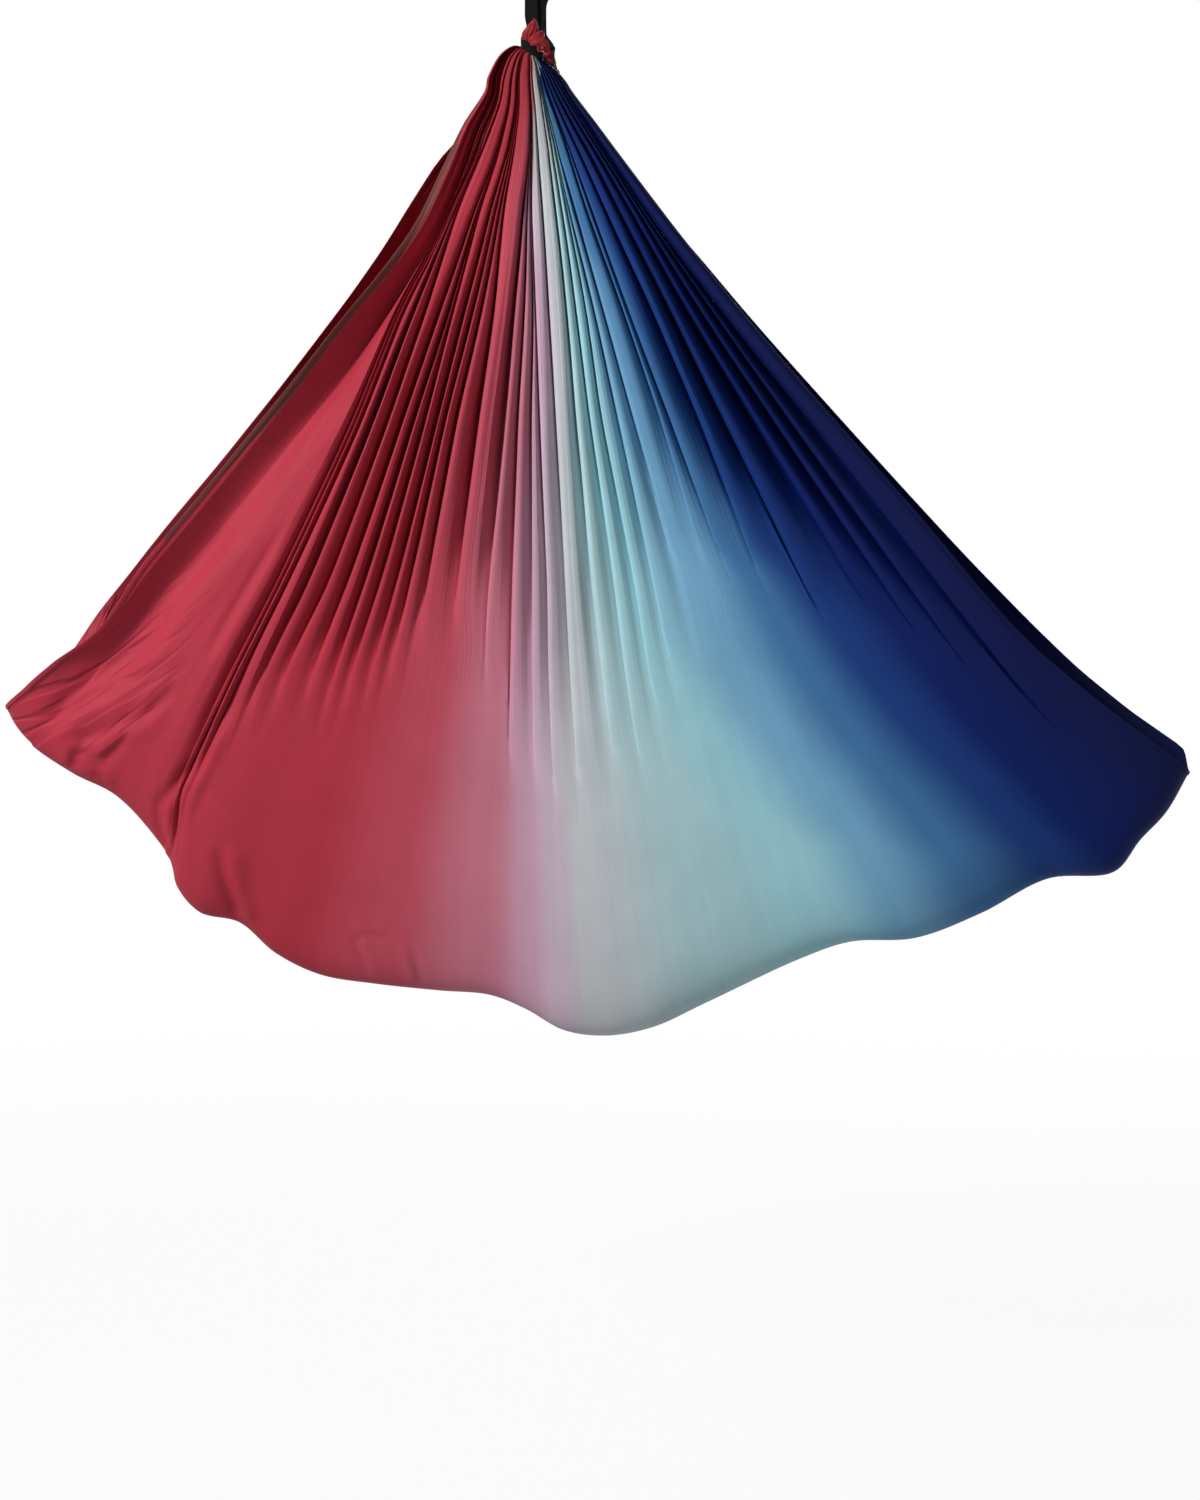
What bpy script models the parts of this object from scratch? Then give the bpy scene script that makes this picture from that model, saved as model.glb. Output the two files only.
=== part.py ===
"""Aerial yoga hammock, in metres, +Z up, with the ceiling at z = 0.

One wide knit sheet hangs from two ceiling fixings, one behind the other along Y. At each end the sheet is
gathered into a neck and a knot, and a webbing sling choked round that neck hangs from a carabiner and a
ceiling hoop. +X runs across the sheet's width. The front is at -Y. The origin lies on the ceiling, halfway
between the two fixings.
"""
import math

import bmesh
import bpy
from mathutils import Vector

# Clearance between neighbouring pieces
GAP = 0.0003

# Ceiling fixings
ANCHOR_SPACING = 0.280
PLATE_LENGTH = 0.090
PLATE_WIDTH = 0.060
PLATE_THICKNESS = 0.005
PLATE_CORNER_RADIUS = 0.008
SCREW_SPACING = 0.066
SCREW_HOLE_RADIUS = 0.0035
HOOP_ROD_RADIUS = 0.005
HOOP_LEG_SPACING = 0.036
HOOP_CORNER_RADIUS = 0.008
HOOP_DROP = 0.036

# Carabiner: a steel rod bent into a D, with a sprung gate on its right side
ROD_RADIUS = 0.005
CARABINER_WIDTH = 0.054
CARABINER_HEIGHT = 0.102
CARABINER_CORNER_RADIUS = 0.013
NOSE_DROP = 0.004
HINGE_HEIGHT = 0.020
GATE_RADIUS = 0.0045
GATE_TIP_GAP = 0.0005
TANG_THICKNESS = 0.0044
TANG_CLEARANCE = 0.0013
SLOT_DEPTH = 0.007
RIVET_RADIUS = 0.0015
RIVET_CLEARANCE = 0.0002
RIVET_HEAD_RADIUS = 0.0024
RIVET_HEAD_THICKNESS = 0.0005
SPRING_BORE_RADIUS = 0.0023
SPRING_BORE_DEPTH = 0.025
PLUNGER_RADIUS = 0.0018
PLUNGER_LENGTH = 0.0075
SPRING_WIRE_RADIUS = 0.00035
SPRING_RADIUS = 0.0015
SPRING_TURNS = 7

# Webbing sling and the band that it chokes round the neck
WEBBING_WIDTH = 0.025
WEBBING_THICKNESS = 0.002
SLING_SPAN = 0.137
SLING_WAIST = 0.0013
BIGHT_RADIUS = 0.005
BIGHT_LEG_THICKNESS = 0.003
BIGHT_LEG_CLEARANCE = 0.0005
BIGHT_LEG_BACK = 0.004
BIGHT_LEG_OVERLAP = 0.010
BAND_DROP = 0.035
BAND_TILT = math.radians(35)
BAND_THICKNESS = 0.0022
BAND_HEIGHT = 0.026

# Gathered neck of the sheet inside the band
NECK_OFFSET = 0.022
NECK_RADIUS_X = 0.0195
NECK_RADIUS_Y = 0.0165
NECK_SIDES = 24

# Knot above the band, row by row: height over the band's middle, centre in x, distance outward from the
# fixing's plane, radius in x and in y, and the share of the band's tilt that the row keeps
KNOT_ROWS = (
    (0.0150, 0.001, 0.024, 0.0200, 0.0170, 1.0),
    (0.0250, 0.007, 0.031, 0.0270, 0.0200, 0.9),
    (0.0370, 0.009, 0.033, 0.0270, 0.0210, 0.4),
    (0.0475, 0.008, 0.035, 0.0200, 0.0160, 0.1),
    (0.0570, 0.008, 0.036, 0.0060, 0.0050, 0.0),
)
KNOT_PLEATS = 0.0012

# Gather below the band, row by row: drop under the band's middle, left and right ends in x, half thickness
# and the share of the tilt that the row keeps
GATHER_ROWS = (
    (0.0183, -0.036, 0.026, 0.0175, 0.7),
    (0.0333, -0.061, 0.047, 0.0180, 0.35),
    (0.0623, -0.082, 0.066, 0.0160, 0.1),
)
GATHER_END_MARGIN = 0.007
GATHER_PLEATS = 0.0013

# Sheet: its width where it hangs widest, its left tip's reach from the fixings' plane, the drop from the
# band to its lowest point, and the outline of its lowest fold from the left tip to the right one, as shares
# of that width and drop
SHEET_WIDTH = 2.384
SHEET_LEFT_REACH = 1.100
SHEET_DROP = 1.947
FOLD_SHARES = (
    (0.000, 0.668), (0.025, 0.704), (0.061, 0.732), (0.094, 0.751), (0.120, 0.781),
    (0.143, 0.822), (0.149, 0.850), (0.168, 0.876), (0.202, 0.886), (0.233, 0.918),
    (0.271, 0.940), (0.319, 0.949), (0.373, 0.955), (0.417, 0.959), (0.447, 0.973),
    (0.480, 0.995), (0.516, 1.000), (0.556, 0.990), (0.600, 0.964), (0.680, 0.916),
    (0.721, 0.898), (0.776, 0.893), (0.831, 0.866), (0.885, 0.830), (0.940, 0.822),
    (0.961, 0.789), (0.982, 0.760), (1.000, 0.719),
)
SHEET_THICKNESS = 0.0012
SHEET_TOP_LEFT = -0.035
SHEET_TOP_RIGHT = 0.012
SHEET_TOP_DROP = 0.005
SHEET_START_SHARE = 0.06
SHEET_SAG = 0.045
SHEET_HANG_RATIO = 70.0
SHEET_ROW_SHARES = (0.20, 0.42, 0.64, 0.84, 0.955, 0.99)
PLEATS = 20
PLEAT_DEPTH = 0.012
PLEAT_TOP_DEPTH = 0.007
PLEAT_FULL_SHARE = 0.25
PLEAT_FADE_START_SHARE = 0.45
PLEAT_FADE_END_SHARES = (0.80, 0.62)

# Levels and places that follow from the sizes above
HALF_SPACING = ANCHOR_SPACING / 2
HOOP_LEVEL = -HOOP_DROP
BOW_TOP = HOOP_LEVEL + HOOP_ROD_RADIUS + GAP + ROD_RADIUS
BOW_RADIUS = CARABINER_WIDTH / 2
BOW_LEVEL = BOW_TOP - BOW_RADIUS
BAR_LEVEL = BOW_TOP - CARABINER_HEIGHT
HINGE_LEVEL = BAR_LEVEL + HINGE_HEIGHT
BIGHT_LEVEL = BAR_LEVEL - SLING_SPAN
BAND_LEVEL = BIGHT_LEVEL - BAND_DROP
SLOT_WIDTH = TANG_THICKNESS + 2 * GAP
NECK_OUTWARD = HALF_SPACING + NECK_OFFSET

RED = (0.42, 0.03, 0.06, 1)
TEAL = (0.30, 0.42, 0.50, 1)
BLACK = (0.012, 0.012, 0.014, 1)
STEEL = (0.55, 0.56, 0.58, 1)


def material(name, colour, roughness, metallic):
    made = bpy.data.materials.new(name)
    made.use_nodes = True
    shader = made.node_tree.nodes["Principled BSDF"]
    shader.inputs["Base Color"].default_value = colour
    shader.inputs["Roughness"].default_value = roughness
    shader.inputs["Metallic"].default_value = metallic
    return made


def add_object(name, bm, finish, smooth_angle=35):
    """Close the mesh's normals, shade it and put it in the scene."""
    bmesh.ops.recalc_face_normals(bm, faces=bm.faces)
    mesh = bpy.data.meshes.new(name)
    bm.to_mesh(mesh)
    bm.free()
    mesh.shade_smooth()
    mesh.set_sharp_from_angle(angle=math.radians(smooth_angle))
    made = bpy.data.objects.new(name, mesh)
    bpy.context.scene.collection.objects.link(made)
    if finish:
        made.data.materials.append(finish)
    return made


def guide(name, bm):
    """A helper solid for a Boolean, which isn't part of the model."""
    made = add_object(name, bm, None)
    made.hide_render = True
    made.display_type = "WIRE"
    return made


def combine(target, tool, operation):
    step = target.modifiers.new(operation.title(), "BOOLEAN")
    step.operation = operation
    step.object = tool
    step.solver = "EXACT"


def loft(rings, closed=False):
    """Skin a list of rings of equal length. An open loft gets a ladder of faces across each end ring."""
    bm = bmesh.new()
    rows = [[bm.verts.new(point) for point in ring] for ring in rings]
    count = len(rows[0])
    pairs = list(zip(rows, rows[1:]))
    if closed:
        pairs.append((rows[-1], rows[0]))
    for low, high in pairs:
        for i in range(count):
            j = (i + 1) % count
            bm.faces.new((low[i], low[j], high[j], high[i]))
    if not closed:
        for row in (rows[0], rows[-1]):
            for i in range(count // 2):
                corners = (row[i], row[i + 1], row[(count - i - 1) % count], row[(count - i) % count])
                bm.faces.new(list(dict.fromkeys(corners)))
    return bm


def sweep(path, across, radius, sides=12):
    """A round rod along a path that lies in the plane square to the vector `across`."""
    rings = []
    for i, point in enumerate(path):
        ahead = path[min(i + 1, len(path) - 1)]
        behind = path[max(i - 1, 0)]
        side = across.cross(ahead - behind).normalized()
        turns = [2 * math.pi * k / sides for k in range(sides)]
        rings.append([point + radius * (math.cos(a) * side + math.sin(a) * across) for a in turns])
    return loft(rings)


def cylinder(centre, axis, radius, length, sides=24):
    """A round bar of the given length whose middle is at `centre`."""
    axis = Vector(axis)
    return sweep([centre - axis * length / 2, centre + axis * length / 2], square_to(axis), radius, sides)


def square_to(axis):
    return Vector((0, 0, 1)) if abs(axis.z) < 0.5 else Vector((0, 1, 0))


def box(low, high):
    bm = bmesh.new()
    bmesh.ops.create_cube(bm, size=1)
    for vert in bm.verts:
        vert.co = Vector([low[k] + (vert.co[k] + 0.5) * (high[k] - low[k]) for k in range(3)])
    return bm


def arc(centre, radius, start, end, steps, plane):
    """Points of an arc, with angles in degrees from the plane's first axis towards its second one."""
    first, second = plane
    points = []
    for k in range(steps + 1):
        a = math.radians(start + (end - start) * k / steps)
        points.append(centre + radius * (math.cos(a) * first + math.sin(a) * second))
    return points


def extrude_outline(points, thickness, axis):
    """A flat outline given thickness, half on each side of its plane."""
    axis = Vector(axis)
    bm = bmesh.new()
    face = bm.faces.new([bm.verts.new(point - axis * thickness / 2) for point in points])
    made = bmesh.ops.extrude_face_region(bm, geom=[face])
    moved = [v for v in made["geom"] if isinstance(v, bmesh.types.BMVert)]
    bmesh.ops.translate(bm, verts=moved, vec=axis * thickness)
    return bm


X, Y, Z = Vector((1, 0, 0)), Vector((0, 1, 0)), Vector((0, 0, 1))


# Ceiling fixing

def ceiling_plate(name, y, finish):
    half_x, half_y, r = PLATE_LENGTH / 2, PLATE_WIDTH / 2, PLATE_CORNER_RADIUS
    level = -PLATE_THICKNESS / 2
    outline = []
    for quarter, (sx, sy) in enumerate(((1, 1), (-1, 1), (-1, -1), (1, -1))):
        corner = Vector((sx * (half_x - r), y + sy * (half_y - r), level))
        outline += arc(corner, r, 90 * quarter, 90 * quarter + 90, 4, (X, Y))
    plate = add_object(name, extrude_outline(outline, PLATE_THICKNESS, Z), finish)
    holes = [(s * SCREW_SPACING / 2, y, SCREW_HOLE_RADIUS) for s in (-1, 1)]
    holes += [(0, y + s * HOOP_LEG_SPACING / 2, HOOP_ROD_RADIUS + GAP) for s in (-1, 1)]
    for number, (hole_x, hole_y, radius) in enumerate(holes):
        tool = cylinder(Vector((hole_x, hole_y, level)), Z, radius, 3 * PLATE_THICKNESS)
        combine(plate, guide(f"{name}_hole_{number}", tool), "DIFFERENCE")


def anchor_hoop(name, y, finish):
    """A rod bent into a U, with its legs set in the plate and its straight bar along Y at the bottom."""
    half, r = HOOP_LEG_SPACING / 2, HOOP_CORNER_RADIUS
    top = -PLATE_THICKNESS / 4
    path = [Vector((0, y - half, top))]
    path += arc(Vector((0, y - half + r, HOOP_LEVEL + r)), r, 180, 270, 6, (Y, Z))
    path += arc(Vector((0, y + half - r, HOOP_LEVEL + r)), r, 270, 360, 6, (Y, Z))
    path.append(Vector((0, y + half, top)))
    add_object(name, sweep(path, X, HOOP_ROD_RADIUS, 16), finish)


# Carabiner

def carabiner_body(name, y, finish):
    side, r = CARABINER_WIDTH / 2, CARABINER_CORNER_RADIUS
    shoulder = HINGE_LEVEL - GATE_RADIUS - TANG_CLEARANCE
    path = [Vector((side, y, shoulder))]
    path += arc(Vector((side - r, y, BAR_LEVEL + r)), r, 0, -90, 7, (X, Z))
    path += arc(Vector((r - side, y, BAR_LEVEL + r)), r, -90, -180, 7, (X, Z))
    path += arc(Vector((0, y, BOW_LEVEL)), BOW_RADIUS, 180, 0, 18, (X, Z))
    path.append(Vector((side, y, BOW_LEVEL - NOSE_DROP)))
    body = add_object(name, sweep(path, Y, ROD_RADIUS), finish)
    tang = [Vector((side - GATE_RADIUS, y, shoulder - ROD_RADIUS / 2))]
    tang.append(Vector((side + GATE_RADIUS, y, shoulder - ROD_RADIUS / 2)))
    tang += arc(Vector((side, y, HINGE_LEVEL)), GATE_RADIUS, 0, 180, 10, (X, Z))
    combine(body, guide(name + "_tang", extrude_outline(tang, TANG_THICKNESS, Y)), "UNION")
    hole = cylinder(Vector((side, y, HINGE_LEVEL)), Y, RIVET_RADIUS + RIVET_CLEARANCE, 4 * ROD_RADIUS, 16)
    combine(body, guide(name + "_rivet_hole", hole), "DIFFERENCE")


def carabiner_gate(name, y, finish):
    side = CARABINER_WIDTH / 2
    tip = BOW_LEVEL - NOSE_DROP - GATE_TIP_GAP
    low = HINGE_LEVEL - GATE_RADIUS
    middle = Vector((side, y, (tip + low) / 2))
    gate = add_object(name, cylinder(middle, Z, GATE_RADIUS, tip - low, 16), finish)
    outline = arc(Vector((side, y, HINGE_LEVEL)), GATE_RADIUS, 180, 360, 10, (X, Z))
    outline += [Vector((side + s * GATE_RADIUS, y, tip + GATE_RADIUS)) for s in (1, -1)]
    rounding = guide(name + "_rounding", extrude_outline(outline, 3 * GATE_RADIUS, Y))
    combine(gate, rounding, "INTERSECT")
    slot_top = HINGE_LEVEL + SLOT_DEPTH
    slot = box(
        (side - 2 * GATE_RADIUS, y - SLOT_WIDTH / 2, low - GATE_RADIUS),
        (side + 2 * GATE_RADIUS, y + SLOT_WIDTH / 2, slot_top),
    )
    combine(gate, guide(name + "_slot", slot), "DIFFERENCE")
    bore_length = SPRING_BORE_DEPTH + SLOT_DEPTH / 2
    bore_middle = Vector((side, y, slot_top + SPRING_BORE_DEPTH - bore_length / 2))
    bore = cylinder(bore_middle, Z, SPRING_BORE_RADIUS, bore_length, 16)
    combine(gate, guide(name + "_spring_bore", bore), "DIFFERENCE")
    hole = cylinder(Vector((side, y, HINGE_LEVEL)), Y, RIVET_RADIUS + RIVET_CLEARANCE, 4 * GATE_RADIUS, 16)
    combine(gate, guide(name + "_rivet_hole", hole), "DIFFERENCE")


def gate_rivet(name, y, finish):
    """The hinge pin, with a flat head outside each cheek of the gate."""
    inner = GATE_RADIUS + GAP
    outer = inner + RIVET_HEAD_THICKNESS
    rows = ((-outer, RIVET_HEAD_RADIUS), (-inner, RIVET_HEAD_RADIUS), (-inner, RIVET_RADIUS),
            (inner, RIVET_RADIUS), (inner, RIVET_HEAD_RADIUS), (outer, RIVET_HEAD_RADIUS))
    centre = Vector((CARABINER_WIDTH / 2, y, HINGE_LEVEL))
    rings = [arc(centre + offset * Y, radius, 0, 360, 16, (X, Z))[:-1] for offset, radius in rows]
    add_object(name, loft(rings), finish)


def gate_plunger(name, y, finish):
    low = HINGE_LEVEL + GATE_RADIUS + GAP
    middle = Vector((CARABINER_WIDTH / 2, y, low + PLUNGER_LENGTH / 2))
    add_object(name, cylinder(middle, Z, PLUNGER_RADIUS, PLUNGER_LENGTH, 12), finish)


def gate_spring(name, y, finish):
    """A coil spring in the gate's bore, between the plunger and the bore's blind end."""
    low = HINGE_LEVEL + GATE_RADIUS + 2 * GAP + PLUNGER_LENGTH + SPRING_WIRE_RADIUS
    high = HINGE_LEVEL + SLOT_DEPTH + SPRING_BORE_DEPTH - GAP - SPRING_WIRE_RADIUS
    centre = Vector((CARABINER_WIDTH / 2, y, 0))
    steps = SPRING_TURNS * 10
    rings = []
    for k in range(steps + 1):
        turn = 2 * math.pi * SPRING_TURNS * k / steps
        spoke = math.cos(turn) * X + math.sin(turn) * Y
        point = centre + SPRING_RADIUS * spoke + (low + (high - low) * k / steps) * Z
        rings.append(arc(point, SPRING_WIRE_RADIUS, 0, 360, 6, (spoke, Z))[:-1])
    add_object(name, loft(rings), finish, 80)
    pitch = (high - low) / SPRING_TURNS
    print(f"{name}: least gap between turns {1000 * (pitch - 2 * SPRING_WIRE_RADIUS):.2f} mm")


# Webbing

def sling_path():
    """Middle of the webbing as (distance from the fixing's plane, z), round the bar and the bight."""
    steps = 14
    turns = (
        (BAR_LEVEL, ROD_RADIUS + GAP + WEBBING_THICKNESS / 2, 1),
        (BIGHT_LEVEL, BIGHT_RADIUS + GAP + WEBBING_THICKNESS / 2, -1),
    )
    half_span = SLING_SPAN / 2
    path = []
    for level, radius, up in turns:
        lean = math.asin(radius / math.hypot(half_span, SLING_WAIST)) - math.atan2(SLING_WAIST, half_span)
        for k in range(steps + 1):
            a = -lean + (math.pi + 2 * lean) * k / steps
            path.append((up * radius * math.cos(a), level + up * radius * math.sin(a)))
        path.append((-up * SLING_WAIST, BAR_LEVEL - half_span))
    return path


def sling(name, y, finish):
    path = sling_path()
    rings = []
    for i, (across, level) in enumerate(path):
        ahead, behind = path[(i + 1) % len(path)], path[i - 1]
        run = Vector((ahead[0] - behind[0], ahead[1] - behind[1])).normalized()
        ring = []
        for sx, st in ((-1, -1), (1, -1), (1, 1), (-1, 1)):
            out = st * WEBBING_THICKNESS / 2
            ring.append(Vector((sx * WEBBING_WIDTH / 2, y + across + out * run.y, level - out * run.x)))
        rings.append(ring)
    add_object(name, loft(rings, closed=True), finish)


def tilt_drop(x):
    """How far the tilted band drops at x: it runs from high on the left to low on the right."""
    return math.tan(BAND_TILT) * x


def choke_band(name, side, finish):
    """The sling's loop pulled tight round the neck, and its bight, which the strands come out through."""
    inner = (NECK_RADIUS_X + GAP, NECK_RADIUS_Y + GAP)
    outer = (inner[0] + BAND_THICKNESS, inner[1] + BAND_THICKNESS)
    rings = []
    for k in range(NECK_SIDES):
        a = 2 * math.pi * k / NECK_SIDES
        ring = []
        for (rx, ry), up in ((inner, -1), (outer, -1), (outer, 1), (inner, 1)):
            x = rx * math.cos(a)
            level = BAND_LEVEL - tilt_drop(x) + up * BAND_HEIGHT / 2
            ring.append(Vector((x, side * (NECK_OUTWARD + ry * math.sin(a)), level)))
        rings.append(ring)
    band = add_object(name, loft(rings, closed=True), finish)
    inner_x = WEBBING_WIDTH / 2 + BIGHT_LEG_CLEARANCE
    outer_x = inner_x + BIGHT_LEG_THICKNESS
    bar = cylinder(Vector((0, side * HALF_SPACING, BIGHT_LEVEL)), X, BIGHT_RADIUS, 2 * outer_x, 16)
    combine(band, guide(name + "_bight", bar), "UNION")
    reach = NECK_OFFSET - inner[1] * math.sqrt(1 - (inner_x / inner[0]) ** 2)
    ys = sorted(side * (HALF_SPACING + out) for out in (-BIGHT_LEG_BACK, reach))
    for sx, word in ((-1, "left"), (1, "right")):
        xs = sorted((sx * inner_x, sx * outer_x))
        low = BAND_LEVEL + BAND_HEIGHT / 2 - tilt_drop(sx * inner_x) - BIGHT_LEG_OVERLAP
        leg = box((xs[0], ys[0], low), (xs[1], ys[1], BIGHT_LEVEL + BIGHT_RADIUS / 2))
        combine(band, guide(f"{name}_leg_{word}", leg), "UNION")


# Gathered cloth

def oval(centre_x, outward, radius_x, radius_y, height, tilt, side, sides, pleats=0.0):
    """One ring of a gathered bundle; the pleats push every second point in."""
    ring = []
    for k in range(sides):
        a = 2 * math.pi * k / sides
        push = pleats if k % 2 else 0
        x = centre_x + (radius_x - push) * math.cos(a)
        y = side * (HALF_SPACING + outward + (radius_y - push) * math.sin(a))
        ring.append(Vector((x, y, BAND_LEVEL + height - tilt * tilt_drop(x))))
    return ring


def knot(name, side, finish):
    """The neck inside the band, the lump of the knot over it and its pointed top."""
    neck = (0, NECK_OFFSET, NECK_RADIUS_X, NECK_RADIUS_Y)
    rings = [oval(*neck, up * (BAND_HEIGHT / 2 + GAP), 1, side, NECK_SIDES) for up in (-1, 1)]
    for row, (height, x, out, radius_x, radius_y, tilt) in enumerate(KNOT_ROWS):
        pleats = KNOT_PLEATS if row else 0
        rings.append(oval(x, out, radius_x, radius_y, height, tilt, side, NECK_SIDES, pleats))
    add_object(name, loft(rings), finish, 50)


def gather(name, side, finish):
    """The packed pleats between the band and the free sheet, spreading into a thin wedge."""
    top = -BAND_HEIGHT / 2 - 2 * GAP
    columns = 2 * PLEATS
    count = 2 * columns
    rings = [oval(0, NECK_OFFSET, NECK_RADIUS_X, NECK_RADIUS_Y, top, 1, side, count)]
    for drop, left, right, thickness, tilt in GATHER_ROWS:
        middle, half = (left + right) / 2, (right - left) / 2
        rings.append(oval(middle, NECK_OFFSET, half, thickness, -drop, tilt, side, count, GATHER_PLEATS))
    last = []
    last_thickness = PLEAT_TOP_DEPTH + GATHER_END_MARGIN
    for k in range(count):
        a = 2 * math.pi * k / count
        point = sheet_line(abs(1 - k / columns), SHEET_START_SHARE)
        push = GATHER_PLEATS if k % 2 else 0
        y = side * (hang(SHEET_START_SHARE) + (last_thickness - push) * math.sin(a))
        last.append(Vector((point[0], y, point[1])))
    rings.append(last)
    add_object(name, loft(rings), finish, 50)


# Sheet

def fold_point(across):
    """A point of the lowest fold, at a share of the way from the left tip along it."""
    points = []
    for share_x, share_z in FOLD_SHARES:
        points.append((share_x * SHEET_WIDTH - SHEET_LEFT_REACH, BAND_LEVEL - share_z * SHEET_DROP))
    lengths = [math.dist(a, b) for a, b in zip(points, points[1:])]
    left = across * sum(lengths)
    for start, end, length in zip(points, points[1:], lengths):
        if left <= length or end == points[-1]:
            share = min(left / length, 1)
            return start[0] + share * (end[0] - start[0]), start[1] + share * (end[1] - start[1])
        left -= length


def sheet_line(across, down):
    """(x, z) of the sheet's line `across` its width, `down` from the band to the lowest fold."""
    top_x = SHEET_TOP_LEFT + across * (SHEET_TOP_RIGHT - SHEET_TOP_LEFT)
    top_z = BAND_LEVEL - SHEET_TOP_DROP
    low_x, low_z = fold_point(across)
    inward = SHEET_SAG * (1 - 2 * across) ** 3 * 4 * down * (1 - down)
    return top_x + down * (low_x - top_x) + inward, top_z + down * (low_z - top_z)


def hang(down):
    """How far a layer stands from the middle plane: the two layers hang together as a catenary."""
    return NECK_OUTWARD * math.acosh(1 + (1 - down) * SHEET_HANG_RATIO) / math.acosh(1 + SHEET_HANG_RATIO)


def pleat_depth(across, down):
    """Half the depth of the pleats, which fade out towards the fold, sooner on the right."""
    rise = min((down - SHEET_START_SHARE) / (PLEAT_FULL_SHARE - SHEET_START_SHARE), 1)
    full = PLEAT_TOP_DEPTH + (PLEAT_DEPTH - PLEAT_TOP_DEPTH) * rise
    end = PLEAT_FADE_END_SHARES[0] + across * (PLEAT_FADE_END_SHARES[1] - PLEAT_FADE_END_SHARES[0])
    fade = (end - down) / (end - PLEAT_FADE_START_SHARE)
    return full * max(0, min(1, fade))


def sheet(name, finish):
    """The free sheet: down from the front gather, under at the lowest fold and up to the rear gather."""
    columns = 2 * PLEATS
    downs = (SHEET_START_SHARE,) + SHEET_ROW_SHARES
    rows = [(-1, down) for down in downs] + [(0, 1.0)] + [(1, down) for down in reversed(downs)]
    grid = []
    for side, down in rows:
        line = []
        for k in range(columns + 1):
            across = k / columns
            x, z = sheet_line(across, down)
            fold = pleat_depth(across, down) * (1 if k % 2 else -1)
            edge_gap = 2 * GAP if down == SHEET_START_SHARE else 0
            line.append(Vector((x, side * (hang(down) + fold), z - edge_gap)))
        grid.append(line)
    skin = bmesh.new()
    verts = [[skin.verts.new(point) for point in line] for line in grid]
    for upper, lower in zip(verts, verts[1:]):
        for k in range(columns):
            skin.faces.new((upper[k], upper[k + 1], lower[k + 1], lower[k]))
    skin.normal_update()
    offsets = {vert: vert.normal * SHEET_THICKNESS / 2 for vert in skin.verts}
    flat_ends = {vert for row in (verts[0], verts[-1]) for vert in row}
    bm = bmesh.new()
    faces = []
    for sign in (-1, 1):
        layer = []
        for row in verts:
            placed = []
            for vert in row:
                offset = offsets[vert].copy()
                if vert in flat_ends:
                    offset.z = 0
                placed.append(bm.verts.new(vert.co + sign * offset))
            layer.append(placed)
        faces.append(layer)
    skin.free()
    back, front = faces
    last_row, last_column = len(grid) - 1, columns
    for i in range(last_row):
        for k in range(columns):
            bm.faces.new((front[i][k], front[i][k + 1], front[i + 1][k + 1], front[i + 1][k]))
            bm.faces.new((back[i][k], back[i + 1][k], back[i + 1][k + 1], back[i][k + 1]))
        for k in (0, last_column):
            bm.faces.new((front[i][k], front[i + 1][k], back[i + 1][k], back[i][k]))
    for i in (0, last_row):
        for k in range(columns):
            bm.faces.new((front[i][k], front[i][k + 1], back[i][k + 1], back[i][k]))
    add_object(name, bm, finish, 60)


def main():
    for old in list(bpy.data.objects):
        bpy.data.objects.remove(old, do_unlink=True)
    steel = material("steel", STEEL, 0.3, 1.0)
    webbing = material("webbing", BLACK, 0.85, 0.0)
    knot_cloth = material("knot_cloth", RED, 0.6, 0.0)
    sheet_cloth = material("sheet_cloth", TEAL, 0.6, 0.0)
    for word, side in (("front", -1), ("rear", 1)):
        y = side * HALF_SPACING
        ceiling_plate(f"{word}_ceiling_plate", y, steel)
        anchor_hoop(f"{word}_anchor_hoop", y, steel)
        carabiner_body(f"{word}_carabiner_body", y, steel)
        carabiner_gate(f"{word}_carabiner_gate", y, steel)
        gate_rivet(f"{word}_gate_rivet", y, steel)
        gate_plunger(f"{word}_gate_plunger", y, steel)
        gate_spring(f"{word}_gate_spring", y, steel)
        sling(f"{word}_sling", y, webbing)
        choke_band(f"{word}_choke_band", side, webbing)
        knot(f"{word}_knot", side, knot_cloth)
        gather(f"{word}_gather", side, sheet_cloth)
    sheet("hammock_sheet", sheet_cloth)


main()
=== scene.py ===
"""Looks of the aerial yoga hammock, in metres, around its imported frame.

The cloth is one continuous mesh. Each of its points has a share `u` across the width, from the crimson edge
to the navy one, and a share `v` down from the choke band to the lowest fold, on the front layer and again on
the rear one. Pleats run down both layers and fade out above the fold.
"""
import math

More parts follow.
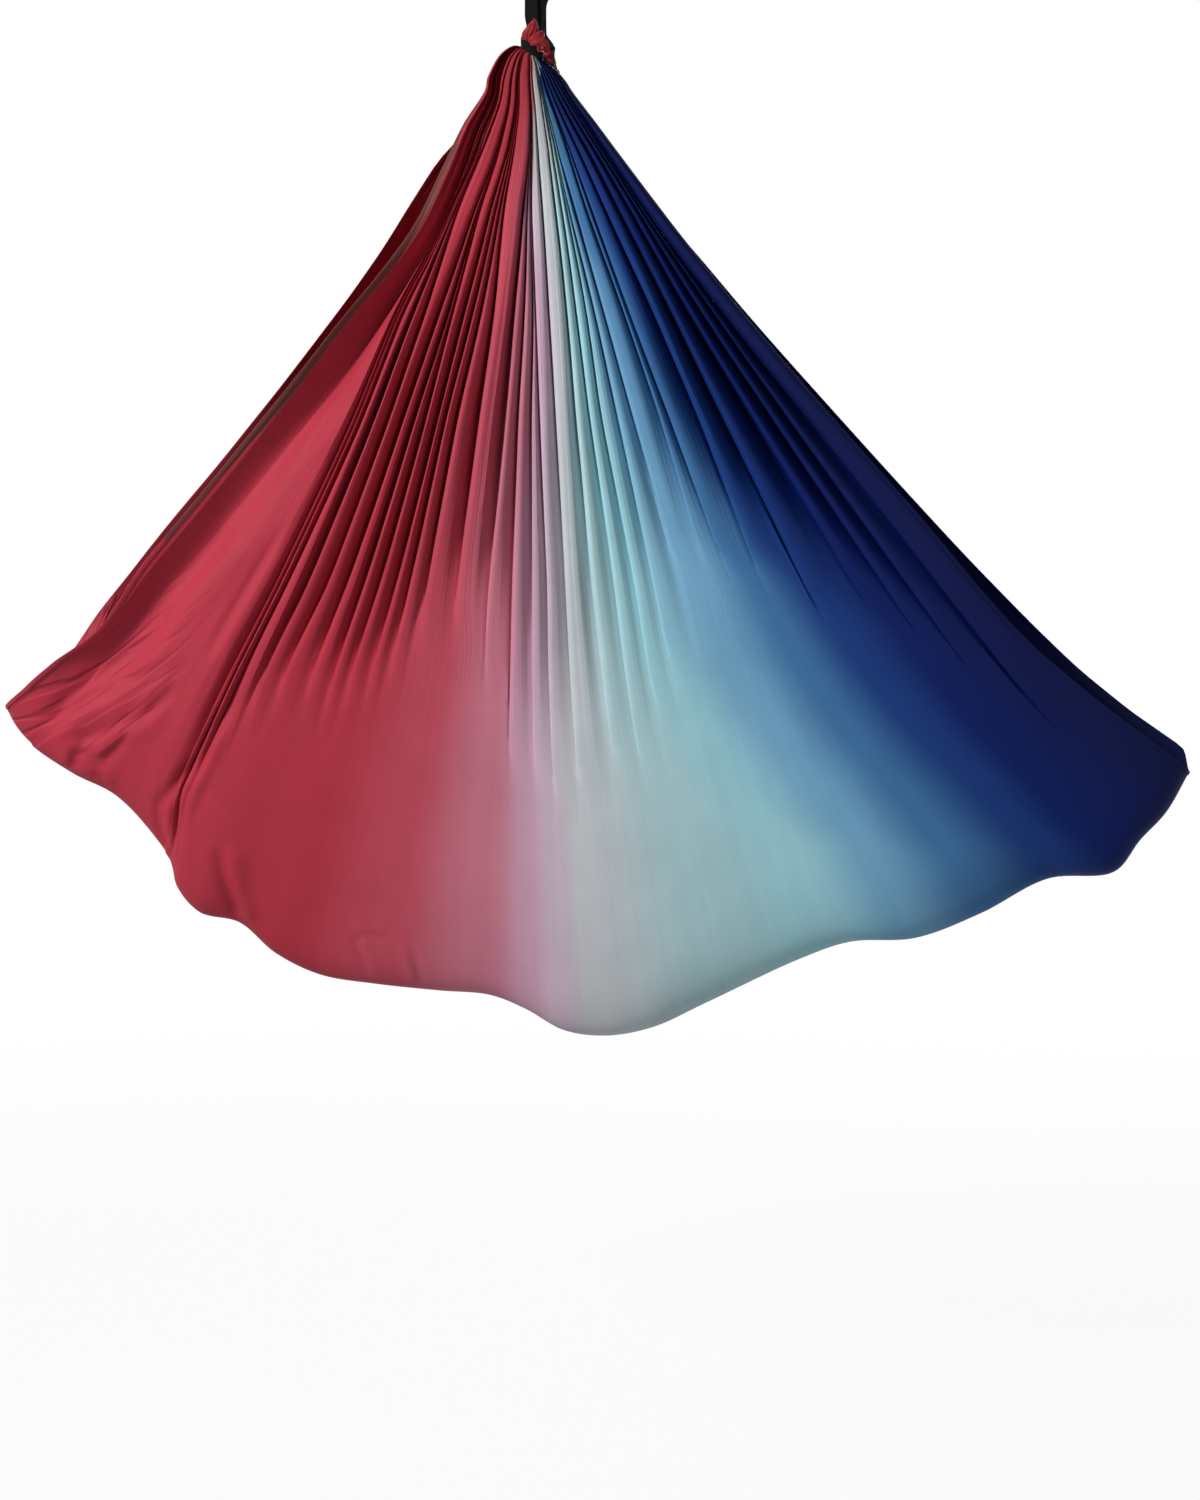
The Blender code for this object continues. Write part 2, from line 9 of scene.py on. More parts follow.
import bmesh
import bpy
import numpy as np
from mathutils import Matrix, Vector


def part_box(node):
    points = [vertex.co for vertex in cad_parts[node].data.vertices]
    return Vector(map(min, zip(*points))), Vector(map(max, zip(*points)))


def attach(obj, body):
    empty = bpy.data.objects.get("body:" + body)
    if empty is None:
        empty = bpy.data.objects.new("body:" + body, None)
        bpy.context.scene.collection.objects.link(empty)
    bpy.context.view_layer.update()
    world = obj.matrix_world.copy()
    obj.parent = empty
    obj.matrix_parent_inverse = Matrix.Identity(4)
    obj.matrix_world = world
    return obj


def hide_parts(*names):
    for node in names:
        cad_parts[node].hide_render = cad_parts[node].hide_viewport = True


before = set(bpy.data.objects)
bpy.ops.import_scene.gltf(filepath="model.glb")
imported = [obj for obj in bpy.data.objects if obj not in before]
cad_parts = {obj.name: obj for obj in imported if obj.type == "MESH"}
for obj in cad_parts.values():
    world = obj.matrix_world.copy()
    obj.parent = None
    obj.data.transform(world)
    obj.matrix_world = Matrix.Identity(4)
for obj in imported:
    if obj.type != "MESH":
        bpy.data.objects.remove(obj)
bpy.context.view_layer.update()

# Camera, at the photograph's viewing angle
CAMERA_AIM = Vector((0.1165, 0.0, -1.6666))
CAMERA_AZIMUTH = math.radians(4.6)
CAMERA_DISTANCE = 6.2
CAMERA_LEVEL = -1.005
CAMERA_LENS = 74.64
CAMERA_SENSOR = 36.0

# Places taken from the frame, and sizes of the rods, the webbing and the necks
HALF_SPACING = (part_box("rear_anchor_hoop")[0].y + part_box("rear_anchor_hoop")[1].y) / 2
NECK_OUTWARD = (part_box("rear_gather")[0].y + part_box("rear_gather")[1].y) / 2
ROD_RADIUS = 0.005
BIGHT_RADIUS = 0.005
WEBBING_WIDTH = 0.025
WEBBING_THICKNESS = 0.002
GAP = 0.0003
BAR_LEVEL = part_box("front_carabiner_body")[0].z + ROD_RADIUS
BIGHT_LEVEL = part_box("front_sling")[0].z + BIGHT_RADIUS + GAP + WEBBING_THICKNESS
BIGHT_RISE = 0.035
BAND_LEVEL = BIGHT_LEVEL - BIGHT_RISE
BAND_TILT = math.radians(35)
BAND_HEIGHT = 0.026
BAND_THICKNESS = 0.0022
BAND_DROP = 0.0045
NECK_RADIUS_X = 0.0195
NECK_RADIUS_Y = 0.0165
BIGHT_LEG_X = 0.0145
REAR_LEG_SHARE = 0.82
SLING_WAIST = 0.0013
STRAND_SHIFT = 0.004
REAR_SHIFT = -0.009
REAR_BUNCH = 0.5

# Cloth: its flat size, and the outline of its lowest fold as shares of its width and drop
FLAT_SIZE = (2.8, 4.57)
SHEET_LOW, SHEET_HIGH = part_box("hammock_sheet")
SHEET_WIDTH = SHEET_HIGH.x - SHEET_LOW.x
SHEET_DROP = BAND_LEVEL - SHEET_LOW.z
FOLD_SHARES = (
    (0.003, 0.658), (0.0055, 0.668), (0.012, 0.685), (0.025, 0.704), (0.061, 0.732), (0.094, 0.751),
    (0.12, 0.781), (0.143, 0.822), (0.149, 0.85), (0.168, 0.876), (0.202, 0.886), (0.233, 0.918),
    (0.271, 0.94), (0.319, 0.949), (0.373, 0.955), (0.417, 0.959), (0.447, 0.973), (0.48, 0.995),
    (0.516, 1), (0.556, 0.99), (0.6, 0.964), (0.68, 0.916), (0.721, 0.898), (0.776, 0.893),
    (0.831, 0.866), (0.885, 0.83), (0.94, 0.822), (0.961, 0.789), (0.982, 0.76), (1, 0.719),
)
TOP_LEFT, TOP_RIGHT = -0.035, 0.012
TOP_DROP = 0.005
HANG_RATIO = 70.0

# Neck and gather, row by row from the band's middle down: drop, left and right end in x, half depth, and the
# share of the band's tilt that the row keeps
NECK_ROWS = (
    (0.0000, -0.0190, 0.0190, 0.0160, 1.0),
    (0.0130, -0.0190, 0.0190, 0.0160, 1.0),
    (0.0183, -0.0400, 0.0230, 0.0175, 0.7),
    (0.0333, -0.0660, 0.0430, 0.0180, 0.35),
    (0.0623, -0.0880, 0.0635, 0.0160, 0.1),
)
NECK_END = 0.06
NECK_BLEND_END = 0.10

# How far the sheet's left and right edges hang inward of straight lines, in metres, by the share down
LEFT_BOW = (
    (0, 0), (0.1, 0.006), (0.14, 0.013), (0.21, 0.027), (0.28, 0.039), (0.37, 0.049), (0.5, 0.055),
    (0.62, 0.053), (0.74, 0.049), (0.87, 0.042), (0.93, 0.036), (0.97, 0.022), (1, 0),
)
RIGHT_BOW = (
    (0, 0), (0.13, 0.022), (0.2, 0.034), (0.26, 0.044), (0.35, 0.054), (0.46, 0.062), (0.58, 0.064),
    (0.69, 0.064), (0.8, 0.062), (0.86, 0.052), (0.92, 0.034), (0.98, 0.005), (1, 0),
)

# Share across where the rear layer's left and right edges lie, beyond 0 and beyond 1
REAR_LEFT = (
    (0, 0), (0.05, -0.06), (0.08, -0.095), (0.1, -0.13), (0.12, -0.165), (0.14, -0.18), (0.16, -0.175),
    (0.19, -0.155), (0.21, -0.145), (0.27, -0.099), (0.335, -0.071), (0.43, -0.051), (0.53, -0.038),
    (0.62, -0.028), (0.68, -0.025), (0.74, -0.021), (0.8, -0.014), (0.86, -0.012), (0.92, -0.003), (1, 0),
)
REAR_RIGHT = (
    (0, 0), (0.05, -0.04), (0.08, -0.056), (0.1, -0.074), (0.12, -0.074), (0.134, -0.068),
    (0.154, -0.056), (0.2, -0.029), (0.26, -0.011), (0.35, -0.006), (0.46, 0), (0.7, 0.004), (0.8, 0.009),
    (0.86, 0.009), (0.92, 0.013), (0.97, 0.018), (1, 0),
)
TABLE_BLUR = 0.03

# Pleats from left to right. Each row: share of the cloth's width where the pleat ends, half depth in
# millimetres, share down where it has faded out, how far its face turns to the left in millimetres, and the
# share across the spread cloth where it ends at each of the drops below the band, in metres
PLEAT_DROPS = (0.09, 0.19, 0.29, 0.48, 0.68, 1.02)
FREE_DROP = 1.18
FIRST_EDGE = (0.015, 0.052, 0.074, 0.034, 0.020, 0.010)
PLEATS = (
    (0.006, 27, 1.10, 0, (0.038, 0.086, 0.100, 0.048, 0.035, 0.020)),
    (0.038, 27, 1.08, 0, (0.090, 0.140, 0.149, 0.108, 0.079, 0.046)),
    (0.146, 13, 1.06, 0, (0.150, 0.185, 0.165, 0.135, 0.150, 0.150)),
    (0.152, 9, 1.06, 0, (0.160, 0.200, 0.178, 0.145, 0.159, 0.156)),
    (0.160, 14, 1.04, 0, (0.170, 0.208, 0.190, 0.158, 0.171, 0.165)),
    (0.188, 19, 0.84, 0, (0.180, 0.215, 0.198, 0.193, 0.201, 0.198)),
    (0.210, 18, 0.82, -1, (0.235, 0.222, 0.207, 0.222, 0.226, 0.222)),
    (0.237, 19, 0.80, 2, (0.322, 0.307, 0.275, 0.257, 0.250, 0.244)),
    (0.260, 18, 0.78, -2, (0.326, 0.312, 0.287, 0.282, 0.272, 0.266)),
    (0.279, 17, 0.77, -2, (0.330, 0.317, 0.293, 0.290, 0.292, 0.286)),
    (0.300, 18, 0.74, 2, (0.395, 0.369, 0.335, 0.319, 0.313, 0.306)),
    (0.318, 16, 0.71, -3, (0.402, 0.380, 0.357, 0.341, 0.327, 0.323)),
    (0.340, 17, 0.69, -3, (0.410, 0.392, 0.372, 0.362, 0.348, 0.344)),
    (0.382, 18, 0.66, 0, (0.430, 0.402, 0.385, 0.392, 0.386, 0.381)),
    (0.422, 20, 0.66, 4, (0.568, 0.495, 0.462, 0.441, 0.433, 0.421)),
    (0.451, 13, 0.70, -3, (0.572, 0.499, 0.480, 0.468, 0.456, 0.451)),
    (0.478, 12, 0.76, -2, (0.576, 0.503, 0.492, 0.494, 0.483, 0.480)),
    (0.499, 8, 0.77, 0, (0.580, 0.506, 0.496, 0.499, 0.500, 0.502)),
    (0.523, 9, 0.78, 2, (0.612, 0.547, 0.542, 0.534, 0.530, 0.525)),
    (0.559, 10, 0.79, 1, (0.683, 0.612, 0.596, 0.581, 0.568, 0.559)),
    (0.585, 8, 0.77, 1, (0.686, 0.635, 0.622, 0.605, 0.594, 0.589)),
    (0.612, 8, 0.76, 1, (0.689, 0.652, 0.640, 0.631, 0.616, 0.616)),
    (0.636, 7, 0.72, -2, (0.692, 0.655, 0.648, 0.650, 0.645, 0.639)),
    (0.670, 8, 0.70, 0, (0.695, 0.665, 0.670, 0.672, 0.672, 0.675)),
    (0.702, 8, 0.61, 0, (0.728, 0.722, 0.713, 0.719, 0.718, 0.704)),
    (0.732, 8, 0.61, -2, (0.733, 0.735, 0.733, 0.733, 0.736, 0.731)),
    (0.768, 14, 0.62, 2, (0.765, 0.785, 0.785, 0.790, 0.785, 0.767)),
    (0.815, 21, 0.64, 0, (0.810, 0.835, 0.833, 0.831, 0.823, 0.815)),
    (0.865, 22, 0.68, -1, (0.855, 0.872, 0.873, 0.867, 0.869, 0.866)),
    (0.901, 19, 0.72, 0, (0.895, 0.902, 0.903, 0.900, 0.903, 0.901)),
    (0.926, 17, 0.76, 0, (0.915, 0.918, 0.918, 0.927, 0.928, 0.926)),
    (0.955, 14, 0.80, -2, (0.940, 0.930, 0.930, 0.945, 0.955, 0.955)),
    (1.000, 12, 0.94, 2, (1.000, 0.990, 0.988, 0.990, 0.993, 0.994)),
)
HEM_PLEAT, SLOPE_PLEAT, WING_PLEAT, END_PLEAT = 0, 1, 2, len(PLEATS) - 1
FLAT_FIRST, FLAT_LAST, FLAT_END = 15, 24, 0.52
COLUMN_SPACING = 0.0024
LEAST_COLUMNS = 11
FADE_LENGTH = 0.24
GAP_WIDTH, TOP_GAP_WIDTH = 0.005, 0.0028
TOP_HEM_DEPTH = 0.35
DEEPER_TOP = 0.6
RECESS = 0.008
BUNDLE_SHARE, BUNDLE_TURN = 0.158, 0.017
SEED = 11

# Sections as (share along the cloth, place across, height): a ridge that leans to the left at mid height, a
# narrow crease beside a low ridge where it fades, the broad wing at the left, the hem's flap and the slope
# behind it, and the flat last strip at the right
RIDGE = (
    (0, 0, -1), (0.1, -0.02, -0.5), (0.2, -0.02, 0.3), (0.3, 0.03, 0.85), (0.4, 0.12, 1), (0.5, 0.24, 1),
    (0.6, 0.37, 0.86), (0.7, 0.5, 0.56), (0.8, 0.64, 0.08), (0.9, 0.81, -0.52), (1, 1, -1),
)
CREASE = (
    (0, 0, -1), (0.1, 0.02, -0.75), (0.2, 0.06, -0.1), (0.3, 0.11, 0.5), (0.4, 0.19, 0.8),
    (0.5, 0.3, 0.8), (0.6, 0.42, 0.62), (0.7, 0.55, 0.32), (0.8, 0.69, -0.05), (0.9, 0.85, -0.5),
    (1, 1, -1),
)
WING = (
    (0, 0, -2.05), (0.08, 0.06, -1.8), (0.18, 0.15, -1.25), (0.3, 0.28, -0.35), (0.45, 0.45, 0.35),
    (0.62, 0.62, 0.65), (0.8, 0.8, 0.9), (0.9, 0.9, 0.6), (0.96, 0.965, -0.3), (1, 1, -1),
)
HEM = ((0, 0, 0.5), (1, 1, 0.2))
SLOPE = (
    (0, 0, 0.2), (0.15, 0.1, 0), (0.35, 0.3, -0.35), (0.6, 0.6, -0.75), (0.8, 0.82, -0.95), (1, 1, -1),
)
END = (
    (0, 0, -1), (0.1, 0.02, -0.2), (0.22, 0.08, 0.55), (0.4, 0.3, 0.95), (0.65, 0.62, 1),
    (0.85, 0.85, 0.8), (1, 1, 0.5),
)
FINE_PITCH, FINE_DEPTH, FINE_END = 0.0170, 0.0055, 0.17

# Share of the dye's width seen at each share across the spread cloth, by the drop below the band in metres
DYE_SHARES = (0, 0.30, 0.40, 0.44, 0.475, 0.53, 0.56, 0.60, 0.66, 0.72, 0.76, 0.79, 0.84, 1)
DYE_PLACES = (
    (0.03, (0, 0.500, 0.630, 0.632, 0.634, 0.636, 0.775, 0.777, 0.778, 0.779, 0.780, 0.782, 0.785, 1)),
    (0.06, (0, 0.480, 0.596, 0.598, 0.600, 0.602, 0.670, 0.672, 0.673, 0.674, 0.675, 0.677, 0.680, 1)),
    (0.15, (0, 0.420, 0.520, 0.526, 0.528, 0.530, 0.648, 0.652, 0.668, 0.671, 0.674, 0.732, 0.740, 1)),
    (0.31, (0, 0.360, 0.455, 0.468, 0.484, 0.546, 0.590, 0.600, 0.642, 0.650, 0.660, 0.720, 0.770, 1)),
    (0.43, (0, 0.340, 0.450, 0.474, 0.503, 0.566, 0.572, 0.580, 0.633, 0.652, 0.701, 0.735, 0.782, 1)),
    (0.58, (0, 0.330, 0.440, 0.474, 0.507, 0.560, 0.566, 0.573, 0.610, 0.657, 0.706, 0.740, 0.789, 1)),
    (0.75, (0, 0.320, 0.430, 0.469, 0.496, 0.539, 0.553, 0.572, 0.612, 0.668, 0.716, 0.749, 0.794, 1)),
    (0.88, (0, 0.310, 0.415, 0.457, 0.487, 0.535, 0.550, 0.571, 0.612, 0.690, 0.734, 0.764, 0.803, 1)),
    (1.17, (0, 0.295, 0.400, 0.449, 0.480, 0.529, 0.551, 0.580, 0.622, 0.701, 0.748, 0.781, 0.829, 1)),
    (1.29, (0, 0.290, 0.395, 0.440, 0.473, 0.526, 0.553, 0.590, 0.645, 0.717, 0.762, 0.794, 0.842, 1)),
    (1.41, (0, 0.285, 0.392, 0.440, 0.472, 0.522, 0.558, 0.607, 0.665, 0.737, 0.780, 0.811, 0.862, 1)),
    (1.55, (0, 0.285, 0.390, 0.440, 0.472, 0.523, 0.562, 0.614, 0.700, 0.759, 0.799, 0.828, 0.872, 1)),
)

# Hem along both edges, folded back behind the cloth: (outward, behind) places of its section
HEM_SECTION = ((0.0007, 0.0003), (0.0007, 0.0012), (0.0, 0.0017), (-0.0035, 0.0018), (-0.0075, 0.0017))
HEM_SHARE = 0.0055
TUCK_SHARE, TUCK_END, TUCK_BLUR = 0.11, 0.095, 0.01

# Creases of the front layer's lower left, in metres: the line as (x, z) points, half width, depth, and 1
# where the cloth stands higher on the line's right side, -1 where it does on its left
CREASES = (
    (((-0.353, -0.954), (-0.436, -1.061), (-0.449, -1.098)), 0.011, 0.0030, 1),
    (((-0.483, -1.210), (-0.556, -1.327), (-0.617, -1.425), (-0.652, -1.495)), 0.012, 0.0050, 1),
    (((-0.577, -1.203), (-0.638, -1.274), (-0.736, -1.386), (-0.792, -1.464)), 0.020, 0.0060, 1),
    (((-0.711, -1.416), (-0.833, -1.499), (-0.952, -1.580), (-1.015, -1.638)), 0.016, 0.0070, 1),
    (((-0.761, -1.498), (-0.835, -1.546), (-0.900, -1.579), (-0.988, -1.633), (-1.022, -1.652)),
     0.013, 0.0060, 1),
    (((-0.800, -1.500), (-0.880, -1.556), (-0.960, -1.606), (-1.000, -1.628)), 0.011, 0.0045, 1),
    (((-0.718, -1.524), (-0.761, -1.565), (-0.794, -1.602)), 0.011, 0.0045, -1),
    (((-0.798, -1.594), (-0.856, -1.630), (-0.918, -1.656), (-0.943, -1.665)), 0.011, 0.0055, 1),
    (((-0.745, -1.560), (-0.800, -1.612), (-0.843, -1.648)), 0.011, 0.0040, 1),
    (((-0.816, -1.621), (-0.859, -1.663), (-0.893, -1.697)), 0.011, 0.0060, -1),
    (((-0.915, -1.664), (-0.945, -1.678), (-0.958, -1.714)), 0.011, 0.0060, -1),
    (((-0.899, -1.711), (-0.889, -1.730), (-0.875, -1.747)), 0.011, 0.0050, 1),
    (((-0.667, -1.668), (-0.732, -1.748), (-0.762, -1.780), (-0.763, -1.839), (-0.744, -1.908)),
     0.012, 0.0080, 1),
    (((-0.606, -1.562), (-0.652, -1.642), (-0.715, -1.768), (-0.744, -1.908)), 0.012, 0.0090, 1),
    (((-0.640, -1.850), (-0.622, -1.941), (-0.611, -1.991), (-0.599, -2.030)), 0.014, 0.0090, 1),
    (((-0.368, -2.030), (-0.362, -2.070), (-0.340, -2.130)), 0.009, 0.0025, 1),
    (((-0.269, -2.046), (-0.257, -2.078), (-0.243, -2.146)), 0.009, 0.0025, -1),
    (((-0.380, -2.045), (-0.355, -2.035), (-0.300, -2.040)), 0.009, 0.0020, 1),
)


def srgb(red, green, blue):
    """A colour given in screen values, 0 to 255, as linear values."""
    linear = []
    for value in (red, green, blue):
        c = value / 255
        linear.append(c / 12.92 if c <= 0.04045 else ((c + 0.055) / 1.055) ** 2.4)
    return (*linear, 1.0)


# Dye across the width: share across, and colour in screen values. Brown first: a painted highlight on the
# hem
BROWN_SHARE = 0.01
OMBRE = [(share, srgb(*colour)) for share, colour in (
    (0, (98, 52, 50)), (0.005, (98, 52, 50)), (BROWN_SHARE, (158, 44, 60)), (0.12, (155, 43, 58)),
    (0.3, (154, 42, 56)), (0.375, (166, 64, 79)), (0.435, (175, 103, 120)), (0.475, (177, 138, 157)),
    (0.5, (179, 160, 174)), (0.53, (175, 178, 182)), (0.6, (157, 189, 194)), (0.66, (142, 188, 198)),
    (0.72, (104, 152, 183)), (0.78, (58, 104, 150)), (0.84, (20, 52, 114)), (0.9, (2, 22, 84)),
    (1, (3, 12, 62)),
)]
CRIMSON = srgb(155, 43, 58)

# Painted shade: the cloth is darker and warmer beside the bands
BAND_SHADE_TONE = (0.74, 0.70, 0.63, 1)


# Curves and ranges

def smooth_step(start, end, value):
    t = np.clip((value - start) / (end - start), 0, 1)
    return t * t * (3 - 2 * t)


def fade_out(start, end, value):
    return 1 - smooth_step(start, end, value)


def window(rise, fall, value):
    """A smooth rise from 0 to 1 over one range, and a smooth fall back to 0 over another."""
    return smooth_step(*rise, value) * fade_out(*fall, value)


def running_sum(lengths):
    return np.concatenate([[0], np.cumsum(lengths)])


def unit(vectors):
    """The same directions with a length of one."""
    return vectors / np.linalg.norm(vectors, axis=-1, keepdims=True)


def circle_angles(count):
    return [2 * math.pi * k / count for k in range(count)]


def run_at(points, i):
    """Direction of a line of points at one of them."""
    return unit(points[min(i + 1, len(points) - 1)] - points[max(i - 1, 0)])


def hermite(t, start, first, end, last):
    """A point of the cubic between two points, from the slopes there."""
    a, b = 2 * t ** 3 - 3 * t ** 2 + 1, t ** 3 - 2 * t ** 2 + t
    c, d = -2 * t ** 3 + 3 * t ** 2, t ** 3 - t ** 2
    return a * start + b * first + c * end + d * last


def smooth_curve(points, per_span):
    """A smooth curve through points that stand unevenly far apart."""
    points = np.asarray(points, float)
    spans = np.sqrt(np.linalg.norm(np.diff(points, axis=0), axis=1))
    slopes = np.gradient(points, running_sum(spans), axis=0)
    made = []
    for k, span in enumerate(spans):
        for t in np.linspace(0, 1, per_span, endpoint=False):
            made.append(hermite(t, points[k], span * slopes[k], points[k + 1], span * slopes[k + 1]))
    made.append(points[-1])
    return np.array(made)


def read_table(at, rows, column=1):
    return np.interp(at, [row[0] for row in rows], [row[column] for row in rows])


def blur_spots(at):
    """Shares down around one, over which a table is averaged, and which draw together near both ends."""
    return at + TABLE_BLUR * np.linspace(-1, 1, 9) * min(1, 4 * at, 4 * (1 - at))


def soft_table(at, rows):
    """Value of a table at a share down, with the table's corners rounded."""
    return read_table(blur_spots(at), rows).mean()


# Lines of the cloth

FOLD = smooth_curve(
    [(SHEET_LOW.x + x * SHEET_WIDTH, BAND_LEVEL - z * SHEET_DROP) for x, z in FOLD_SHARES], 12)
FOLD_LENGTHS = running_sum(np.linalg.norm(np.diff(FOLD, axis=0), axis=1))


def fold_place(across):
    """x and z of the lowest fold at a share across the cloth's width."""
    run = across * FOLD_LENGTHS[-1]
    return np.interp(run, FOLD_LENGTHS, FOLD[:, 0]), np.interp(run, FOLD_LENGTHS, FOLD[:, 1])


def sheet_line(across, down):
    """x and z of the line `across` the spread cloth, `down` from the band to the lowest fold."""
    beyond = across - np.clip(across, 0, 1)
    low_x, low_z = fold_place(across)
    top_x = TOP_LEFT + across * (TOP_RIGHT - TOP_LEFT)
    top_z = BAND_LEVEL - TOP_DROP
    bow = np.where(np.asarray(across) < 0.5, soft_table(down, LEFT_BOW), soft_table(down, RIGHT_BOW))
    inward = bow * (1 - 2 * across) ** 3 + beyond * down * SHEET_WIDTH
    return top_x + down * (low_x - top_x) + inward, top_z + down * (low_z - top_z)


def hang(down):
    """How far a layer stands from the middle plane: the two layers hang together as a catenary."""
    return NECK_OUTWARD * np.arccosh(1 + (1 - down) * HANG_RATIO) / math.acosh(1 + HANG_RATIO)


def hang_slope(down):
    """How fast that distance changes with the share down; the cloth lies level at the lowest fold."""
    near = 1e-4
    level = -1e6
    return (hang(down + near) - hang(down)) / near if down < 1 - near else level


def tilt_drop(x):
    """How far the tilted band drops at x."""
    return math.tan(BAND_TILT) * x


def neck_line(across, down):
    """x and z of the line in the neck and gather, which joins the spread cloth's line smoothly."""
    points = []
    for drop, left, right, _, tilt in NECK_ROWS:
        x = left + across * (right - left)
        points.append(np.stack([x, BAND_LEVEL - drop - tilt * tilt_drop(x)]))
    for share in (NECK_END, NECK_BLEND_END):
        points.append(np.stack(sheet_line(across, share)))
    beyond = np.stack(sheet_line(across, 2 * NECK_BLEND_END - NECK_END))
    count = len(points)
    place = down / NECK_BLEND_END * (count - 1)
    k = min(int(place), count - 2)
    before = points[k - 1] if k else 2 * points[0] - points[1]
    after = points[k + 2] if k + 2 < count else beyond
    start, end = points[k], points[k + 1]
    return hermite(place - k, start, (end - before) / 2, end, (after - start) / 2)


# Pleats

# Small differences between one pleat and the next, drawn from ranges, and the share of the pleats that have
# a second, lower ridge on their right side
DEPTH_RANGE = (0.93, 1.07)
FADE_RANGE = (-0.015, 0.015)
SECOND_SHARE = 0.4
SECOND_RANGE = (0.15, 0.35)
SECOND_PLACES = (0.66, 0.76)
SECOND_BREADTH = 0.09
SKEW_RANGE = (-0.05, 0.06)

# Low down the front layer's edges lie a little inward: shares of the width, and the shares down where that
# starts and ends
LOW_LEFT, LOW_LEFT_START = 0.015, (0.74, 0.87)
LOW_RIGHT, LOW_RIGHT_START = 0.007, (0.60, 0.80)
LOW_END = (0.80, 0.97)
LOW_REACH = 0.03

# Shares down over which strips turn into ridges, the pleats sink back, turn and straighten, are deeper or
# shallow, the gaps widen, the rear margin turns over, and the bundle bends
STRIP_START, STRIP_END = 0.12, 0.40
RECESS_START, TURN_START, TOP_FADE = (0.02, 0.08), (0.04, 0.12), (0.05, 0.42)
DEEPER_WINDOW, SHALLOW_END = ((0.06, 0.16), (0.35, 0.60)), (0.16, 0.36)
GAP_SPREAD = (0.05, 0.15)
MARGIN_END = (0.78, 0.96)
BUNDLE_START = (0.92, 0.99)

# Shares of a pleat's full depth over which it turns from a crease to a ridge and gets its place across
CREASE_FADE, NARROW_FADE = (0.0, 0.75), (0.0, 0.25)

# Least and most share of a pleat that its gap takes, shares of its even width over which a narrow pleat
# sinks back, and how far across the bundle's bend reaches
GAP_LIMITS = (0.06, 0.45)
SQUEEZE = (0.35, 0.85)
BUNDLE_REACH = 0.035

# Near the band a pleat is a flat strip with half a narrow gap at each side. By the share of its cloth from
# its nearer edge: the share of the gap's width that is crossed, the share of the flat half, and the height
STRIP_GAP = ((0, 0), (0.10, 0.3), (0.20, 0.5), (0.50, 0.5))
STRIP_FACE = ((0.20, 0), (0.50, 1))
STRIP_HEIGHT = ((0, -1.0), (0.10, 0.15), (0.20, 0.88), (0.32, 1.0), (0.50, 1.0))

# Shares down over which the lower cloth's swells and the fine folds beside the hem come and go, and the
# swells' height and waves: strength, turn across and down, and start
SWELL_WINDOW, FINE_WINDOW = ((0.5, 0.8), (0.93, 1.0)), ((0.008, 0.03), (0.14, 0.30))
SWELL_HEIGHT = 0.004
SWELL_WAVES = ((1.0, 19, 4.0, 0.6), (0.7, 31, -7.0, 2.1), (0.5, 12, 13.0, 0.0))

# Creases: shares of a line's length over which it comes and goes, and how far it reaches, in half widths. A
# crease has a valley and a crest, whose places are in half widths too. The last two are shares down
CREASE_WINDOW = ((0.0, 0.25), (0.78, 1.0))
CREASE_REACH = 6
VALLEY_PLACE, VALLEY_DEPTH = -0.5, 1.1
CREST_PLACE, CREST_BREADTH, CREST_HEIGHT = 1.3, 1.5, 0.8
CREASE_TOP = 0.3
CREASE_END = (0.985, 1.0)

# Shares down where a brown painted highlight runs along the front layer's hem
HEM_HIGHLIGHT_WINDOW = ((0.09, 0.13), (0.50, 0.72))


def pleat_plan(seed):
    """Values of the pleats, and small differences between one pleat and the next."""
    draw = np.random.default_rng(seed)
    ends, depths, fades, turns, places = zip(*PLEATS)
    count = len(PLEATS)
    edges = np.array([0.0, *ends])
    return {
        "edges": edges,
        "places": np.array([FIRST_EDGE, *places]),
        "fold_drops": BAND_LEVEL - fold_place(edges)[1],
        "depth": 0.001 * np.array(depths) * draw.uniform(*DEPTH_RANGE, count),
        "fade_end": np.array(fades) + draw.uniform(*FADE_RANGE, count),
        "turn": 0.001 * np.array(turns),
        "second": np.where(draw.uniform(0, 1, count) < SECOND_SHARE, draw.uniform(*SECOND_RANGE, count), 0),
        "second_at": draw.uniform(*SECOND_PLACES, count),
        "skew": draw.uniform(*SKEW_RANGE, count),
    }


def edge_places(v, side, plan):
    """Share across the spread cloth of each pleat's edge at a share down."""
    edges = plan["edges"]
    spots = blur_spots(v)
    made = []
    for edge, row, drop in zip(edges, plan["places"], plan["fold_drops"]):
        made.append(np.interp(spots * drop, (*PLEAT_DROPS, FREE_DROP), (*row, edge)).mean())
    places = np.array(made)
    if side > 0:
        places = (places - places[0]) / (places[-1] - places[0])
        left, right = soft_table(v, REAR_LEFT), soft_table(v, REAR_RIGHT)
        places = left + places * (1 + right - left)
    else:
        places += LOW_LEFT * window(LOW_LEFT_START, LOW_END, v) * np.exp(-edges / LOW_REACH)
        places -= LOW_RIGHT * window(LOW_RIGHT_START, LOW_END, v) * np.exp(-(1 - edges) / LOW_REACH)
    turn = BUNDLE_TURN * smooth_step(*BUNDLE_START, v)
    return places + turn * np.exp(-((edges - BUNDLE_SHARE) / BUNDLE_REACH) ** 2)


def table_section(phase, rows):
    return [read_table(phase, rows, column) for column in (1, 2)]


